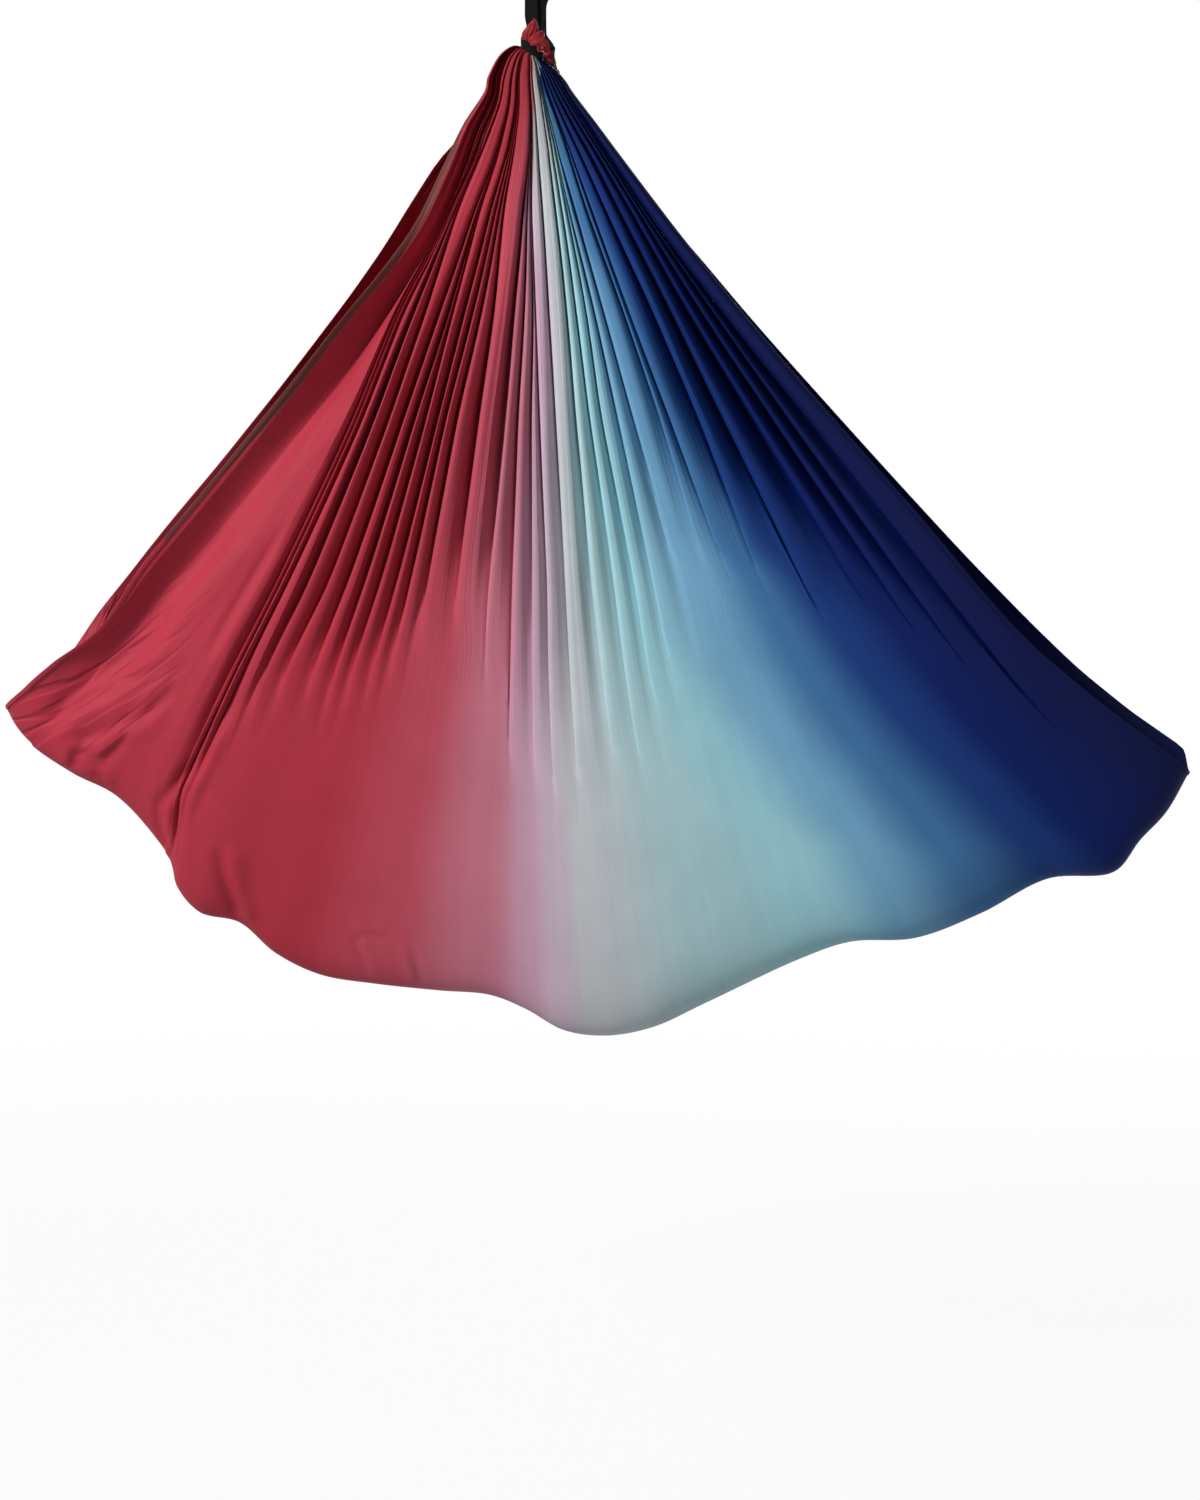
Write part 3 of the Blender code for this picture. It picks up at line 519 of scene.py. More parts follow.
def strip_section(phase, gap):
    """Place across and height of a flat strip, at a share along its cloth."""
    near = np.minimum(phase, 1 - phase)
    place = read_table(near, STRIP_GAP) * gap + read_table(near, STRIP_FACE) * (0.5 - 0.5 * gap)
    return np.where(phase > 0.5, 1 - place, place), read_table(near, STRIP_HEIGHT)


def section(phase, index, v, fade, gap, wear):
    """Place across a pleat and height, at a share along its cloth."""
    strip_end = np.where((index >= FLAT_FIRST) & (index <= FLAT_LAST), FLAT_END, STRIP_END)
    top = fade_out(STRIP_START, strip_end, v)
    end = np.where(index < FLAT_FIRST, fade_out(*CREASE_FADE, fade), 0)
    forms = zip(table_section(phase, RIDGE), strip_section(phase, gap), table_section(phase, CREASE))
    place, height = [ridge + top * (strip - ridge) + (1 - top) * end * (crease - ridge)
                     for ridge, strip, crease in forms]
    height += wear["second"] * (1 - top) * np.exp(-((phase - wear["second_at"]) / SECOND_BREADTH) ** 2)
    place += wear["skew"] * (1 - top) * np.sin(math.pi * phase) ** 2
    for kind, rows in ((HEM_PLEAT, HEM), (SLOPE_PLEAT, SLOPE), (WING_PLEAT, WING), (END_PLEAT, END)):
        other = table_section(phase, rows)
        place = np.where(index == kind, other[0], place)
        height = np.where(index == kind, other[1], height)
    return place, height


def rear_margin(height, phase, index, v):
    """Height of the rear layer's left margin, which leans the other way until it nears the fold."""
    turned = np.where(index <= SLOPE_PLEAT, -height, height)
    turned = np.where(index == WING_PLEAT, height - 2 * WING[0][2] * (1 - phase) ** 2, turned)
    return height + (turned - height) * fade_out(*MARGIN_END, v)


def crease_height(x, z):
    """Height that the creases add at places on the front layer."""
    total = np.zeros_like(x)
    for points, half_width, depth, higher in CREASES:
        points = np.asarray(points)
        best = np.full_like(x, np.inf)
        offset, along = np.zeros_like(x), np.zeros_like(x)
        lengths = np.linalg.norm(np.diff(points, axis=0), axis=1)
        for start, end, length, run in zip(points, points[1:], lengths, running_sum(lengths)):
            line = (end - start) / length
            t = np.clip((x - start[0]) * line[0] + (z - start[1]) * line[1], 0, length)
            dx, dz = x - start[0] - t * line[0], z - start[1] - t * line[1]
            distance = np.hypot(dx, dz)
            nearer = distance < best
            best = np.where(nearer, distance, best)
            offset = np.where(nearer, np.sign(dx * -line[1] + dz * line[0]) * distance, offset)
            along = np.where(nearer, (run + t) / lengths.sum(), along)
        shown = np.where(best > CREASE_REACH * half_width, 0, window(*CREASE_WINDOW, along))
        spot = offset * higher / half_width
        valley = VALLEY_DEPTH * np.exp(-(spot - VALLEY_PLACE) ** 2)
        crest = CREST_HEIGHT * np.exp(-((spot - CREST_PLACE) / CREST_BREADTH) ** 2)
        total += shown * depth * (crest - valley)
    return total


def swell(u, v):
    """Broad soft swells of the smooth lower cloth."""
    waves = 0
    for strength, across, down, start in SWELL_WAVES:
        waves = waves + strength * np.sin(across * u + down * v + start)
    return SWELL_HEIGHT * window(*SWELL_WINDOW, v) * waves


def fine_folds(u, v):
    """Narrow folds in the broad pleats beside the hem, near the band."""
    shown = window(*FINE_WINDOW, v) * fade_out(0.9, 1.0, u / FINE_END)
    waves = 1 - 2 * np.abs(np.cos(math.pi * u / FINE_PITCH + 0.8 * np.sin(60 * u))) ** 3
    return FINE_DEPTH * shown * waves


def pleat_gap(widths, v):
    """Share of each pleat's width that the gap beside its strip takes."""
    spread_width = TOP_RIGHT - TOP_LEFT + v * SHEET_WIDTH
    gap_width = TOP_GAP_WIDTH + (GAP_WIDTH - TOP_GAP_WIDTH) * smooth_step(*GAP_SPREAD, v)
    return np.clip(gap_width / (widths * spread_width + 1e-6), *GAP_LIMITS)


def pleat_depth(index, v, fade, plan):
    """Half the pleats' depth, which is least near the hem at the top and fades out further down."""
    deeper = 1 + DEEPER_TOP * window(*DEEPER_WINDOW, v)
    shallow = TOP_HEM_DEPTH + (1 - TOP_HEM_DEPTH) * smooth_step(*SHALLOW_END, v)
    return np.where(index <= SLOPE_PLEAT, shallow, 1) * (plan["depth"][index] * fade * deeper)


def layer_line(s, v, half_depth):
    """x, z and half the pleats' depth at shares across one row. In the neck the pleats fill its outline."""
    if v >= NECK_BLEND_END:
        return *sheet_line(s, v), half_depth
    rows = [row[3] for row in NECK_ROWS]
    spot = v / NECK_BLEND_END * (len(rows) + 1)
    filled = np.interp(spot, range(len(rows)), rows) * np.sqrt(np.clip(1 - (2 * s - 1) ** 2, 0, 1))
    spread = smooth_step(len(rows) - 2, len(rows) + 1, spot)
    return *neck_line(s, v), filled * (1 - spread) + half_depth * spread


def dye_at(z, even):
    """Share of the dye's width that shows at shares across one row, by the level of each."""
    drops, shares = zip(*DYE_PLACES)
    drop = np.clip(BAND_LEVEL - z, drops[0], drops[-1])
    seen = np.stack([np.interp(drop, drops, column) for column in zip(*shares)], axis=1)
    return np.array([np.interp(place, row, DYE_SHARES) for place, row in zip(even, seen)])


def cloth_row(columns, v, side, plan):
    """One row's points without its hems, the dye's share at each, and how far the crimson edge covers it."""
    u, phase, index = columns
    edges = edge_places(v, side, plan)
    widths = np.diff(edges)
    fade = fade_out(plan["fade_end"] - FADE_LENGTH, plan["fade_end"], v)[index]
    wear = {key: plan[key][index] for key in ("second", "second_at", "skew")}
    place, height = section(phase, index, v, fade, pleat_gap(widths, v)[index], wear)
    if side > 0:
        height = rear_margin(height, phase, index, v)
    plain = phase + (place - phase) * smooth_step(*NARROW_FADE, fade)
    s = edges[index] + plain * widths[index]
    x, z, half_depth = layer_line(s, v, pleat_depth(index, v, fade, plan))

    top = fade_out(*TOP_FADE, v)
    squeezed = fade_out(*SQUEEZE, widths / np.diff(plan["edges"]))[index]
    outward = half_depth * height - RECESS * squeezed * top * smooth_step(*RECESS_START, v)
    outward += plan["turn"][index] * (phase - 0.5) * top * smooth_step(*TURN_START, v)
    outward += swell(u, v) + fine_folds(u, v)
    if side < 0 and v > CREASE_TOP:
        outward += crease_height(x, z) * fade_out(*CREASE_END, v)
    rise = hang_slope(v)
    length = math.hypot(rise, SHEET_DROP)
    y = side * (hang(v) + outward * SHEET_DROP / length)
    points = np.stack([x, y, z + outward * rise / length], axis=1)

    dye = np.maximum(dye_at(z, edges[index] + phase * widths[index]), BROWN_SHARE)
    # Painted highlight: the front hem is coloured brown over a window of rows
    if side < 0:
        dye = np.where(u < HEM_SHARE * window(*HEM_HIGHLIGHT_WINDOW, v), 0, dye)
    beyond = u - 1 + TUCK_SHARE * (1 - v / TUCK_END)
    tucked = np.clip(0.5 + beyond / TUCK_BLUR, 0, 1) if side > 0 else np.zeros_like(u)
    return points, dye, tucked


def add_hems(rows, *layers):
    """Fold the cloth's two edges back behind it."""
    hems = []
    for edge, inner, hand in ((0, 1, 1), (-1, -2, -1)):
        along = unit(np.gradient(rows[:, edge], axis=0))
        outward = rows[:, edge] - rows[:, inner]
        outward = unit(outward - (outward * along).sum(axis=1, keepdims=True) * along)
        behind = hand * np.cross(outward, along)
        hems.append([rows[:, edge] + out * outward + back * behind for out, back in HEM_SECTION])
    left, right = hems
    rows = np.concatenate([np.stack(left[::-1], axis=1), rows, np.stack(right, axis=1)], axis=1)
    count = len(HEM_SECTION)
    return rows, *(np.pad(layer, ((0, 0), (count, count), (0, 0)), mode="edge") for layer in layers)


def cloth_columns(edges):
    """Share across, share within its pleat, and pleat of each column. A wider pleat gets more columns."""
    columns = []
    for k, (start, end) in enumerate(zip(edges, edges[1:])):
        count = max(LEAST_COLUMNS, round((end - start) / COLUMN_SPACING))
        columns += [(start + j / count * (end - start), j / count, k) for j in range(count)]
    columns.append((edges[-1], 1.0, len(edges) - 2))
    shares, phases, index = zip(*columns)
    return np.array(shares), np.array(phases), np.array(index)


# Rows of each layer in its neck, its pleats and its lower part, where they stand closer toward the fold
ROW_COUNTS = ((-1, (22, 44, 52)), (1, (18, 34, 24)))
LOWER_START, LOWER_POWER = 0.72, 0.6

# Angle in degrees above which an edge of the cloth is sharp
CLOTH_SHARP = 42


def cloth_rows():
    """(side, v) of each row, from the front band down, under the fold and up to the rear band."""
    rows = []
    for side, (neck_count, middle_count, lower_count) in ROW_COUNTS:
        rest = np.linspace((1 - LOWER_START) ** LOWER_POWER, 0, lower_count, endpoint=False)
        downs = np.concatenate([
            np.linspace(0, NECK_BLEND_END, neck_count, endpoint=False),
            np.linspace(NECK_BLEND_END, LOWER_START, middle_count, endpoint=False),
            1 - rest ** (1 / LOWER_POWER),
        ])
        rows.append([(side, v) for v in (downs if side < 0 else downs[::-1])])
    return rows[0] + [(1, 1.0)] + rows[1]


def link_object(name, data):
    made = bpy.data.objects.new(name, data)
    bpy.context.scene.collection.objects.link(made)
    return made


def smooth_object(name, mesh, sharp_angle):
    """An object of a mesh that is shaded smooth, apart from edges sharper than an angle in degrees."""
    mesh.shade_smooth()
    mesh.set_sharp_from_angle(angle=math.radians(sharp_angle))
    return link_object(name, mesh)


def grid_mesh(name, rows, places):
    """An object from rows of points, with one UV map for each named array of places."""
    count, width = rows.shape[:2]
    first = (np.arange(count - 1)[:, None] * width + np.arange(width - 1)[None, :]).ravel()
    faces = np.stack([first, first + width, first + width + 1, first + 1], axis=1)
    mesh = bpy.data.meshes.new(name)
    mesh.from_pydata(rows.reshape(-1, 3).tolist(), [], faces.tolist())
    for word, values in places.items():
        layer = mesh.uv_layers.new(name=word)
        layer.data.foreach_set("uv", values.reshape(-1, 2)[faces.ravel()].ravel())
    return smooth_object(name, mesh, CLOTH_SHARP)


def make_cloth():
    plan, rear_plan = pleat_plan(SEED), pleat_plan(SEED + 1)
    columns = cloth_columns(plan["edges"])
    rows, dyes, metres, tucks = [], [], [], []
    for side, v in cloth_rows():
        points, dye, tucked = cloth_row(columns, v, side, plan if side < 0 else rear_plan)
        along = np.full_like(dye, v / 2 if side < 0 else 1 - v / 2)
        rows.append(points)
        dyes.append(np.stack([dye, along], axis=1))
        metres.append(np.stack([columns[0] * FLAT_SIZE[0], along * FLAT_SIZE[1]], axis=1))
        tucks.append(np.stack([tucked, along], axis=1))
    rows, dyes, metres, tucks = add_hems(*(np.array(layer) for layer in (rows, dyes, metres, tucks)))
    return grid_mesh("ombre_sheet", rows, {"cloth": dyes, "flat": metres, "tuck": tucks})


# Closed skins

def skin(rings, closed=False):
    """Points, faces and UV places, in metres, of a closed skin over rings of equal length."""
    rings = np.asarray(rings, float)
    count, width = rings.shape[:2]
    across = running_sum(np.linalg.norm(np.roll(rings, -1, axis=1) - rings, axis=2).mean(axis=0))
    along = running_sum(np.linalg.norm(np.roll(rings, -1, axis=0) - rings, axis=2).mean(axis=1))
    faces, uvs = [], []
    for i in range(count if closed else count - 1):
        below = ((i + 1) % count) * width
        for k in range(width):
            after = (k + 1) % width
            faces.append((i * width + k, i * width + after, below + after, below + k))
            uvs.append((
                (across[k], along[i]), (across[k + 1], along[i]),
                (across[k + 1], along[i + 1]), (across[k], along[i + 1])))
    if not closed:
        for first, order in ((0, range(width - 1, -1, -1)), ((count - 1) * width, range(width))):
            faces.append([first + k for k in order])
            uvs.append([(across[k], along[-1] if first else 0) for k in order])
    return rings.reshape(-1, 3), faces, uvs


def join_skins(name, skins, sharp_angle):
    """One object from several closed skins."""
    verts, faces, uvs = [], [], []
    for points, sides, places in skins:
        faces += [[len(verts) + k for k in side] for side in sides]
        uvs += [place for side in places for place in side]
        verts += points.tolist()
    mesh = bpy.data.meshes.new(name)
    mesh.from_pydata(verts, [], faces)
    layer = mesh.uv_layers.new(name="metres")
    layer.data.foreach_set("uv", np.asarray(uvs, float).ravel())
    shape = bmesh.new()
    shape.from_mesh(mesh)
    bmesh.ops.recalc_face_normals(shape, faces=shape.faces)
    shape.to_mesh(mesh)
    shape.free()
    return smooth_object(name, mesh, sharp_angle)


# Webbing

WEBBING_RIBS = 9
RIB_HEIGHT = 0.00012
WEBBING_SHARP = 50

# Sling: steps round each turn and along each strand, where it hangs slack, and the twist of its strands
TURN_STEPS, STRAND_STEPS = 18, 22
SLING_SLACK = ((0.10, 0.45), (0.80, 1.0))
SLING_TWIST = 0.0009
BACK_TWIST_SHARE = 0.6

# Choke band: steps around, the shares by which it is drawn narrow at the left and right, and its small waves
BAND_STEPS = 72
DRAWN_LEFT, DRAWN_RIGHT, DRAWN_POWER = 0.3, 0.5, 4
BAND_WAVE = 0.0006

# Bight: half breadth and half thickness of a leg, how far the legs' ends stand over the band's middle and
# toward the neck, where the legs bend, and the length, shoulders and folds of the bunched bar
LEG_HALF = np.array([0.006, 0.0015])
LEFT_LEG_END, RIGHT_LEG_END = 0.002, -0.001
LEG_INWARD, LEG_BULGE, BEND_SHARE = 0.006, 0.0004, 0.4
LEFT_BEND_RISE, RIGHT_BEND_DROP = 0.008, 0.020
BAR_HALF = 0.007
SHOULDER_X, SHOULDER_DROP, ELBOW_DROP = 0.003, 0.0008, 0.006
BAR_DROPS = (0.012, 0.002)
BIGHT_STEPS, BIGHT_FOLDS, BIGHT_FOLD_DEPTH = 28, 7, 0.07


def webbing_section(width, thickness):
    """Outline of the webbing's section as (across, out) places: ribbed faces and round edges."""
    half, radius = width / 2, thickness / 2
    flat = half - radius
    spots = np.linspace(-flat, flat, 2 * WEBBING_RIBS + 1)
    face = [(x, radius + RIB_HEIGHT * math.cos(math.pi * k)) for k, x in enumerate(spots)]
    edge = [(flat + radius * math.sin(a), radius * math.cos(a)) for a in np.radians((45, 90, 135))]
    upper = face + edge
    return upper + [(-x, -out) for x, out in upper]


def sling_path():
    """Middle of the webbing round the bar and the bight, as (distance from the fixing's plane, z) places."""
    half_span = (BAR_LEVEL - BIGHT_LEVEL) / 2
    clear = GAP + WEBBING_THICKNESS / 2
    turns = ((BAR_LEVEL, ROD_RADIUS + clear, 1), (BIGHT_LEVEL, BIGHT_RADIUS + clear, -1))
    path = []
    for (level, radius, up), (next_level, next_radius, _) in zip(turns, turns[::-1]):
        lean = math.asin(radius / math.hypot(half_span, SLING_WAIST)) - math.atan2(SLING_WAIST, half_span)
        for a in np.linspace(-lean, math.pi + lean, TURN_STEPS + 1):
            path.append((up * radius * math.cos(a), level + up * radius * math.sin(a)))
        waist = (-up * SLING_WAIST, BAR_LEVEL - half_span)
        end = (-up * next_radius * math.cos(lean), next_level + up * next_radius * math.sin(lean))
        strand = list(zip(path[-1], waist, end))
        for t in np.linspace(0, 2, STRAND_STEPS + 1)[1:-1]:
            path.append(tuple(np.interp(t, range(3), values) for values in strand))
    return np.array(path)


def make_sling(word, side):
    path = sling_path()
    rings = []
    for i, (across, level) in enumerate(path):
        run = unit(path[(i + 1) % len(path)] - path[i - 1])
        down = (BAR_LEVEL - level) / (BAR_LEVEL - BIGHT_LEVEL)
        slack = window(*SLING_SLACK, down)
        if side > 0:
            shift, width = REAR_SHIFT, WEBBING_WIDTH * (1 - REAR_BUNCH * slack)
        else:
            shift, width = -STRAND_SHIFT * np.clip(-across / SLING_WAIST, -1, 1), WEBBING_WIDTH
        twist = SLING_TWIST * math.sin(math.pi * np.clip(down, 0, 1))
        twist *= 1 if across > 0 else BACK_TWIST_SHARE
        y = side * HALF_SPACING + across
        ring = []
        for x, out in webbing_section(width, WEBBING_THICKNESS):
            lift = out + twist * x / WEBBING_WIDTH
            ring.append((slack * shift + x, y + lift * run[1], level - lift * run[0]))
        rings.append(ring)
    return join_skins(f"{word}_webbing_sling", [skin(rings, closed=True)], WEBBING_SHARP)


def band_ring(side):
    """The webbing pulled tight round the neck: higher at the left, and drawn narrow at both sides."""
    radii = np.array([NECK_RADIUS_X, NECK_RADIUS_Y]) + GAP
    rings = []
    for a in circle_angles(BAND_STEPS):
        spoke = np.array([math.cos(a), math.sin(a)])
        x, y = radii * spoke
        out_x, out_y = unit(spoke / radii)
        left, right = ((1 - spoke[0]) / 2) ** DRAWN_POWER, ((1 + spoke[0]) / 2) ** DRAWN_POWER
        height = BAND_HEIGHT * (1 - DRAWN_LEFT * left - DRAWN_RIGHT * right)
        middle = BAND_LEVEL - BAND_DROP - tilt_drop(x) + BAND_WAVE * math.sin(2 * a + 0.7)
        ring = []
        for across, out in webbing_section(height, BAND_THICKNESS):
            bow = BAND_WAVE * math.cos(math.pi * across / height) * math.sin(3 * a)
            spot = out + BAND_THICKNESS / 2 + bow
            ring.append((x + spot * out_x, side * (NECK_OUTWARD + y + spot * out_y), middle + across))
        rings.append(ring)
    return skin(rings, closed=True)


def bight_strap(side):
    """The webbing's bight, bunched to a soft bar between two legs that run down into the band."""
    y = side * HALF_SPACING
    low_y, bend_y = y + side * LEG_INWARD, y + BEND_SHARE * side * LEG_INWARD
    leg = BIGHT_LEG_X if side < 0 else REAR_LEG_SHARE * BIGHT_LEG_X
    low_left = BAND_LEVEL - BAND_DROP + LEFT_LEG_END + tilt_drop(leg)
    low_right = BAND_LEVEL - BAND_DROP + RIGHT_LEG_END - tilt_drop(leg)
    shoulder, elbow = BIGHT_LEVEL - SHOULDER_DROP, BIGHT_LEVEL - ELBOW_DROP
    route = smooth_curve([
        (-leg, low_y, low_left), (-leg - LEG_BULGE, bend_y, low_left + LEFT_BEND_RISE),
        (-leg, y, elbow), (-leg + SHOULDER_X, y, shoulder),
        (-BAR_HALF, y, BIGHT_LEVEL), (0, y, BIGHT_LEVEL), (BAR_HALF, y, BIGHT_LEVEL),
        (leg - SHOULDER_X, y, shoulder), (leg, y, elbow),
        (leg + LEG_BULGE, bend_y, BIGHT_LEVEL - RIGHT_BEND_DROP), (leg, low_y, low_right),
    ], 8)
    wide = np.array([0, 1, 0])
    rings = []
    for i, point in enumerate(route):
        thin = np.cross(run_at(route, i), wide)
        bar = smooth_step(BIGHT_LEVEL - BAR_DROPS[0], BIGHT_LEVEL - BAR_DROPS[1], point[2])
        half_wide, half_thin = LEG_HALF + bar * (BIGHT_RADIUS - LEG_HALF)
        ring = []
        for a in circle_angles(BIGHT_STEPS):
            fold = 1 - BIGHT_FOLD_DEPTH * (1 + math.cos(BIGHT_FOLDS * a + 1.2))
            ring.append(point + fold * (half_wide * math.cos(a) * wide + half_thin * math.sin(a) * thin))
        rings.append(ring)
    return skin(rings)


def make_band(word, side):
    return join_skins(f"{word}_webbing_choke", [band_ring(side), bight_strap(side)], WEBBING_SHARP)


# Knot

# Core of the tied end: height over the band's middle, centre x, outward, radius x, radius y, and the share
# of the band's tilt
KNOT_CORE = (
    (-0.006, 0.000, 0.0220, 0.0186, 0.0156, 1.0),
    (0.0060, 0.000, 0.0225, 0.0186, 0.0156, 1.0),
    (0.0130, 0.002, 0.0270, 0.0165, 0.0150, 0.7),
    (0.0210, 0.003, 0.0310, 0.0140, 0.0140, 0.4),
    (0.0290, 0.004, 0.0330, 0.0105, 0.0110, 0.2),
    (0.0370, 0.005, 0.0340, 0.0060, 0.0070, 0.1),
    (0.0430, 0.005, 0.0345, 0.0025, 0.0030, 0.0),
)
CORE_STEPS, CORE_PLEATS, CORE_PLEAT_DEPTH, CORE_TWIST = 72, 18, 0.045, 40
KNOT_SHARP = 60

# Lobes of the tied end, folded out of the pleated cloth: x, outward and height over the band's middle along
# the lobe's line, with its half breadth there
KNOT_LOBES = (
    ((-0.006, 0.040, 0.010, 0.0060), (-0.003, 0.046, 0.019, 0.0105), (0.002, 0.047, 0.029, 0.0120),
     (0.0052, 0.043, 0.040, 0.0080), (0.0052, 0.038, 0.051, 0.0012)),
    ((-0.0135, 0.034, 0.012, 0.0045), (-0.0135, 0.037, 0.021, 0.0055), (-0.0130, 0.036, 0.031, 0.0012)),
    ((-0.012, 0.036, 0.012, 0.0050), (-0.009, 0.041, 0.024, 0.0065), (-0.007, 0.039, 0.037, 0.0015)),
    ((-0.005, 0.046, 0.008, 0.0035), (0.004, 0.052, 0.0115, 0.0058), (0.013, 0.051, 0.0165, 0.0070),
     (0.0205, 0.045, 0.0215, 0.0064), (0.0235, 0.034, 0.0215, 0.0040)),
    ((0.000, 0.049, 0.001, 0.0035), (0.010, 0.054, 0.0055, 0.0056), (0.019, 0.053, 0.0085, 0.0070),
     (0.0265, 0.050, 0.0030, 0.0072), (0.0298, 0.047, -0.0055, 0.0062), (0.0285, 0.044, -0.0130, 0.0045)),
)
LOBE_FACE = (-0.25, 1.0, 0.1)
LOBE_STEPS = 44
LOBE_FLATNESS = 0.5
LOBE_PLEATS, LOBE_PLEAT_DEPTH, LOBE_TWIST = 3, 0.07, 1.3
LEAST_LOBE = 0.0004

# Rolled corner of the tail: its place, turns, outer and inner radius, and its half thickness at both ends
CURL_X, CURL_OUT, CURL_RISE = 0.0175, 0.049, -0.0065
CURL_START, CURL_TURNS, CURL_STEPS = math.radians(150), 1.7, 60
CURL_RADIUS, CURL_EYE, CURL_REACH = 0.0086, 0.0010, 0.004
CURL_THICK, CURL_THIN, CURL_BREADTH = 0.0022, 0.0013, 2.4
CURL_RING_STEPS, CURL_RIBS, CURL_RIB_DEPTH = 16, 4, 0.06

# The rear knot is smaller than the front one, and leans to the left
REAR_KNOT_SHARE = 0.6
REAR_CORE_SHRINK = 0.12
REAR_LEAN = -0.005


def knot_core(side):
    rear = 1 if side > 0 else 0
    rings = []
    for height, x, out, radius_x, radius_y, tilt in smooth_curve(KNOT_CORE, 5):
        middle = x + rear * REAR_LEAN * smooth_step(0.0, 0.03, height)
        size = 1 - rear * REAR_CORE_SHRINK * smooth_step(0.0, 0.02, height)
        pleat = CORE_PLEAT_DEPTH * smooth_step(0.008, 0.02, height)
        ring = []
        for a in circle_angles(CORE_STEPS):
            push = size * (1 - pleat * (1 + math.cos(CORE_PLEATS * a + CORE_TWIST * height)))
            px = middle + push * radius_x * math.cos(a)
            py = side * (HALF_SPACING + out + push * radius_y * math.sin(a))
            ring.append((px, py, BAND_LEVEL + height - tilt * tilt_drop(px)))
        rings.append(ring)
    return skin(rings)


def knot_place(side, x, out, height):
    """A place in the tied end. The rear knot is turned round, so its left and right change places."""
    x = REAR_LEAN - REAR_KNOT_SHARE * x if side > 0 else x
    return np.array([x, side * (HALF_SPACING + out), BAND_LEVEL + height])


def knot_lobe(side, stations, twist):
    """A flattened, finely pleated fold of the cloth along a curved line."""
    line = smooth_curve(stations, 8)
    points = [knot_place(side, *station[:3]) for station in line]
    size = REAR_KNOT_SHARE if side > 0 else 1.0
    rings = []
    for i, point in enumerate(points):
        run = run_at(points, i)
        face = np.array(LOBE_FACE) * (side, side, 1)
        face = unit(face - run * (face @ run))
        broad = np.cross(run, face)
        half = max(size * line[i, 3], LEAST_LOBE)
        ring = []
        for a in circle_angles(LOBE_STEPS):
            across = half * math.cos(a)
            pleat = LOBE_PLEAT_DEPTH * half * math.cos(LOBE_PLEATS * math.pi * math.cos(a) + twist)
            out = LOBE_FLATNESS * half * math.sin(a) + pleat * max(0, math.sin(a)) ** 0.5
            ring.append(point + across * broad + out * face)
        rings.append(ring)
    return skin(rings)


def knot_curl(side):
    """The rolled corner of the tail low on the right, wound into a small spiral that faces outward."""
    centre = knot_place(side, CURL_X, CURL_OUT, CURL_RISE)
    outward = np.array([0, side, 0])
    rings = []
    for t in np.linspace(0, 1, CURL_STEPS):
        a = CURL_START - 2 * math.pi * CURL_TURNS * t
        spoke = np.array([math.cos(a), 0, math.sin(a)])
        point = centre + (CURL_RADIUS + t * (CURL_EYE - CURL_RADIUS)) * spoke + CURL_REACH * t * outward
        half = CURL_THICK + t * (CURL_THIN - CURL_THICK)
        ring = []
        for b in circle_angles(CURL_RING_STEPS):
            thick = half * (1 - CURL_RIB_DEPTH * (1 + math.cos(CURL_RIBS * b)))
            ring.append(point + thick * (math.cos(b) * spoke + CURL_BREADTH * math.sin(b) * outward))
        rings.append(ring)
    return skin(rings)


def make_knot(word, side):
    skins = [knot_core(side), knot_curl(side)]
    skins += [knot_lobe(side, stations, LOBE_TWIST * k) for k, stations in enumerate(KNOT_LOBES)]
    return join_skins(f"{word}_tied_knot", skins, KNOT_SHARP)


# Materials

# Dye streaks and mottling: scales across and along, detail, darkest and lightest tone
MOTTLES = (((70, 0.8), 3, 0.97, 1.03), ((6, 5), 4, 0.95, 1.05))
NOISE_SPREAD = (0.3, 0.7)
TUCK_EDGE = (0.35, 0.65)

# Ranges of the flat cloth, in metres from the lowest fold: beside the bands, where shade is painted, in the
# pleats, and near the fold. The last one is in metres from the crimson edge
BAND_SHADE_FROM_FOLD = (1.90, 2.20)
PLEATED_FROM_FOLD = (0.35, 1.3)
NEAR_FOLD = (0.30, 0.75)
BESIDE_HEM = (0.12, 0.36)

# Noise of the fine creases, the pressed lines and the knit: scales across and along, and depth in metres
CREASE_NOISE, CREASE_RELIEF = (150, 1.2), 0.0013
LINE_NOISE, LINE_RELIEF = (17, 2.2), 0.0026
LINE_TURN, LINE_WIDTH = math.radians(-18), 0.08
KNIT_NOISE, KNIT_RELIEF = (1100, 300), 0.0002

# Steel: how much longer its scratches are than wide, its darkest tone, and how its roughness varies
SCRATCH_STRETCH = 12
DARK_STEEL = 0.82
POLISH_SPREAD = (-0.08, 0.12)


def new_material(name):
    made = bpy.data.materials.new(name)
    made.use_nodes = True
    return made, made.node_tree, made.node_tree.nodes["Principled BSDF"]


def fill(tree, node, inputs):
    """Give each of a node's inputs its value, or join the other node's output that is given for it."""
    for name, value in inputs.items():
        if isinstance(value, bpy.types.NodeSocket):
            tree.links.new(value, node.inputs[name])
        else:
            node.inputs[name].default_value = value
    return node


def add_node(tree, kind, inputs):
    return fill(tree, tree.nodes.new("ShaderNode" + kind), inputs)


def math_node(tree, operation, *values):
    made = tree.nodes.new("ShaderNodeMath")
    made.operation = operation
    return fill(tree, made, dict(enumerate(values))).outputs[0]


def vector_node(tree, operation, inputs):
    made = tree.nodes.new("ShaderNodeVectorMath")
    made.operation = operation
    return fill(tree, made, inputs)


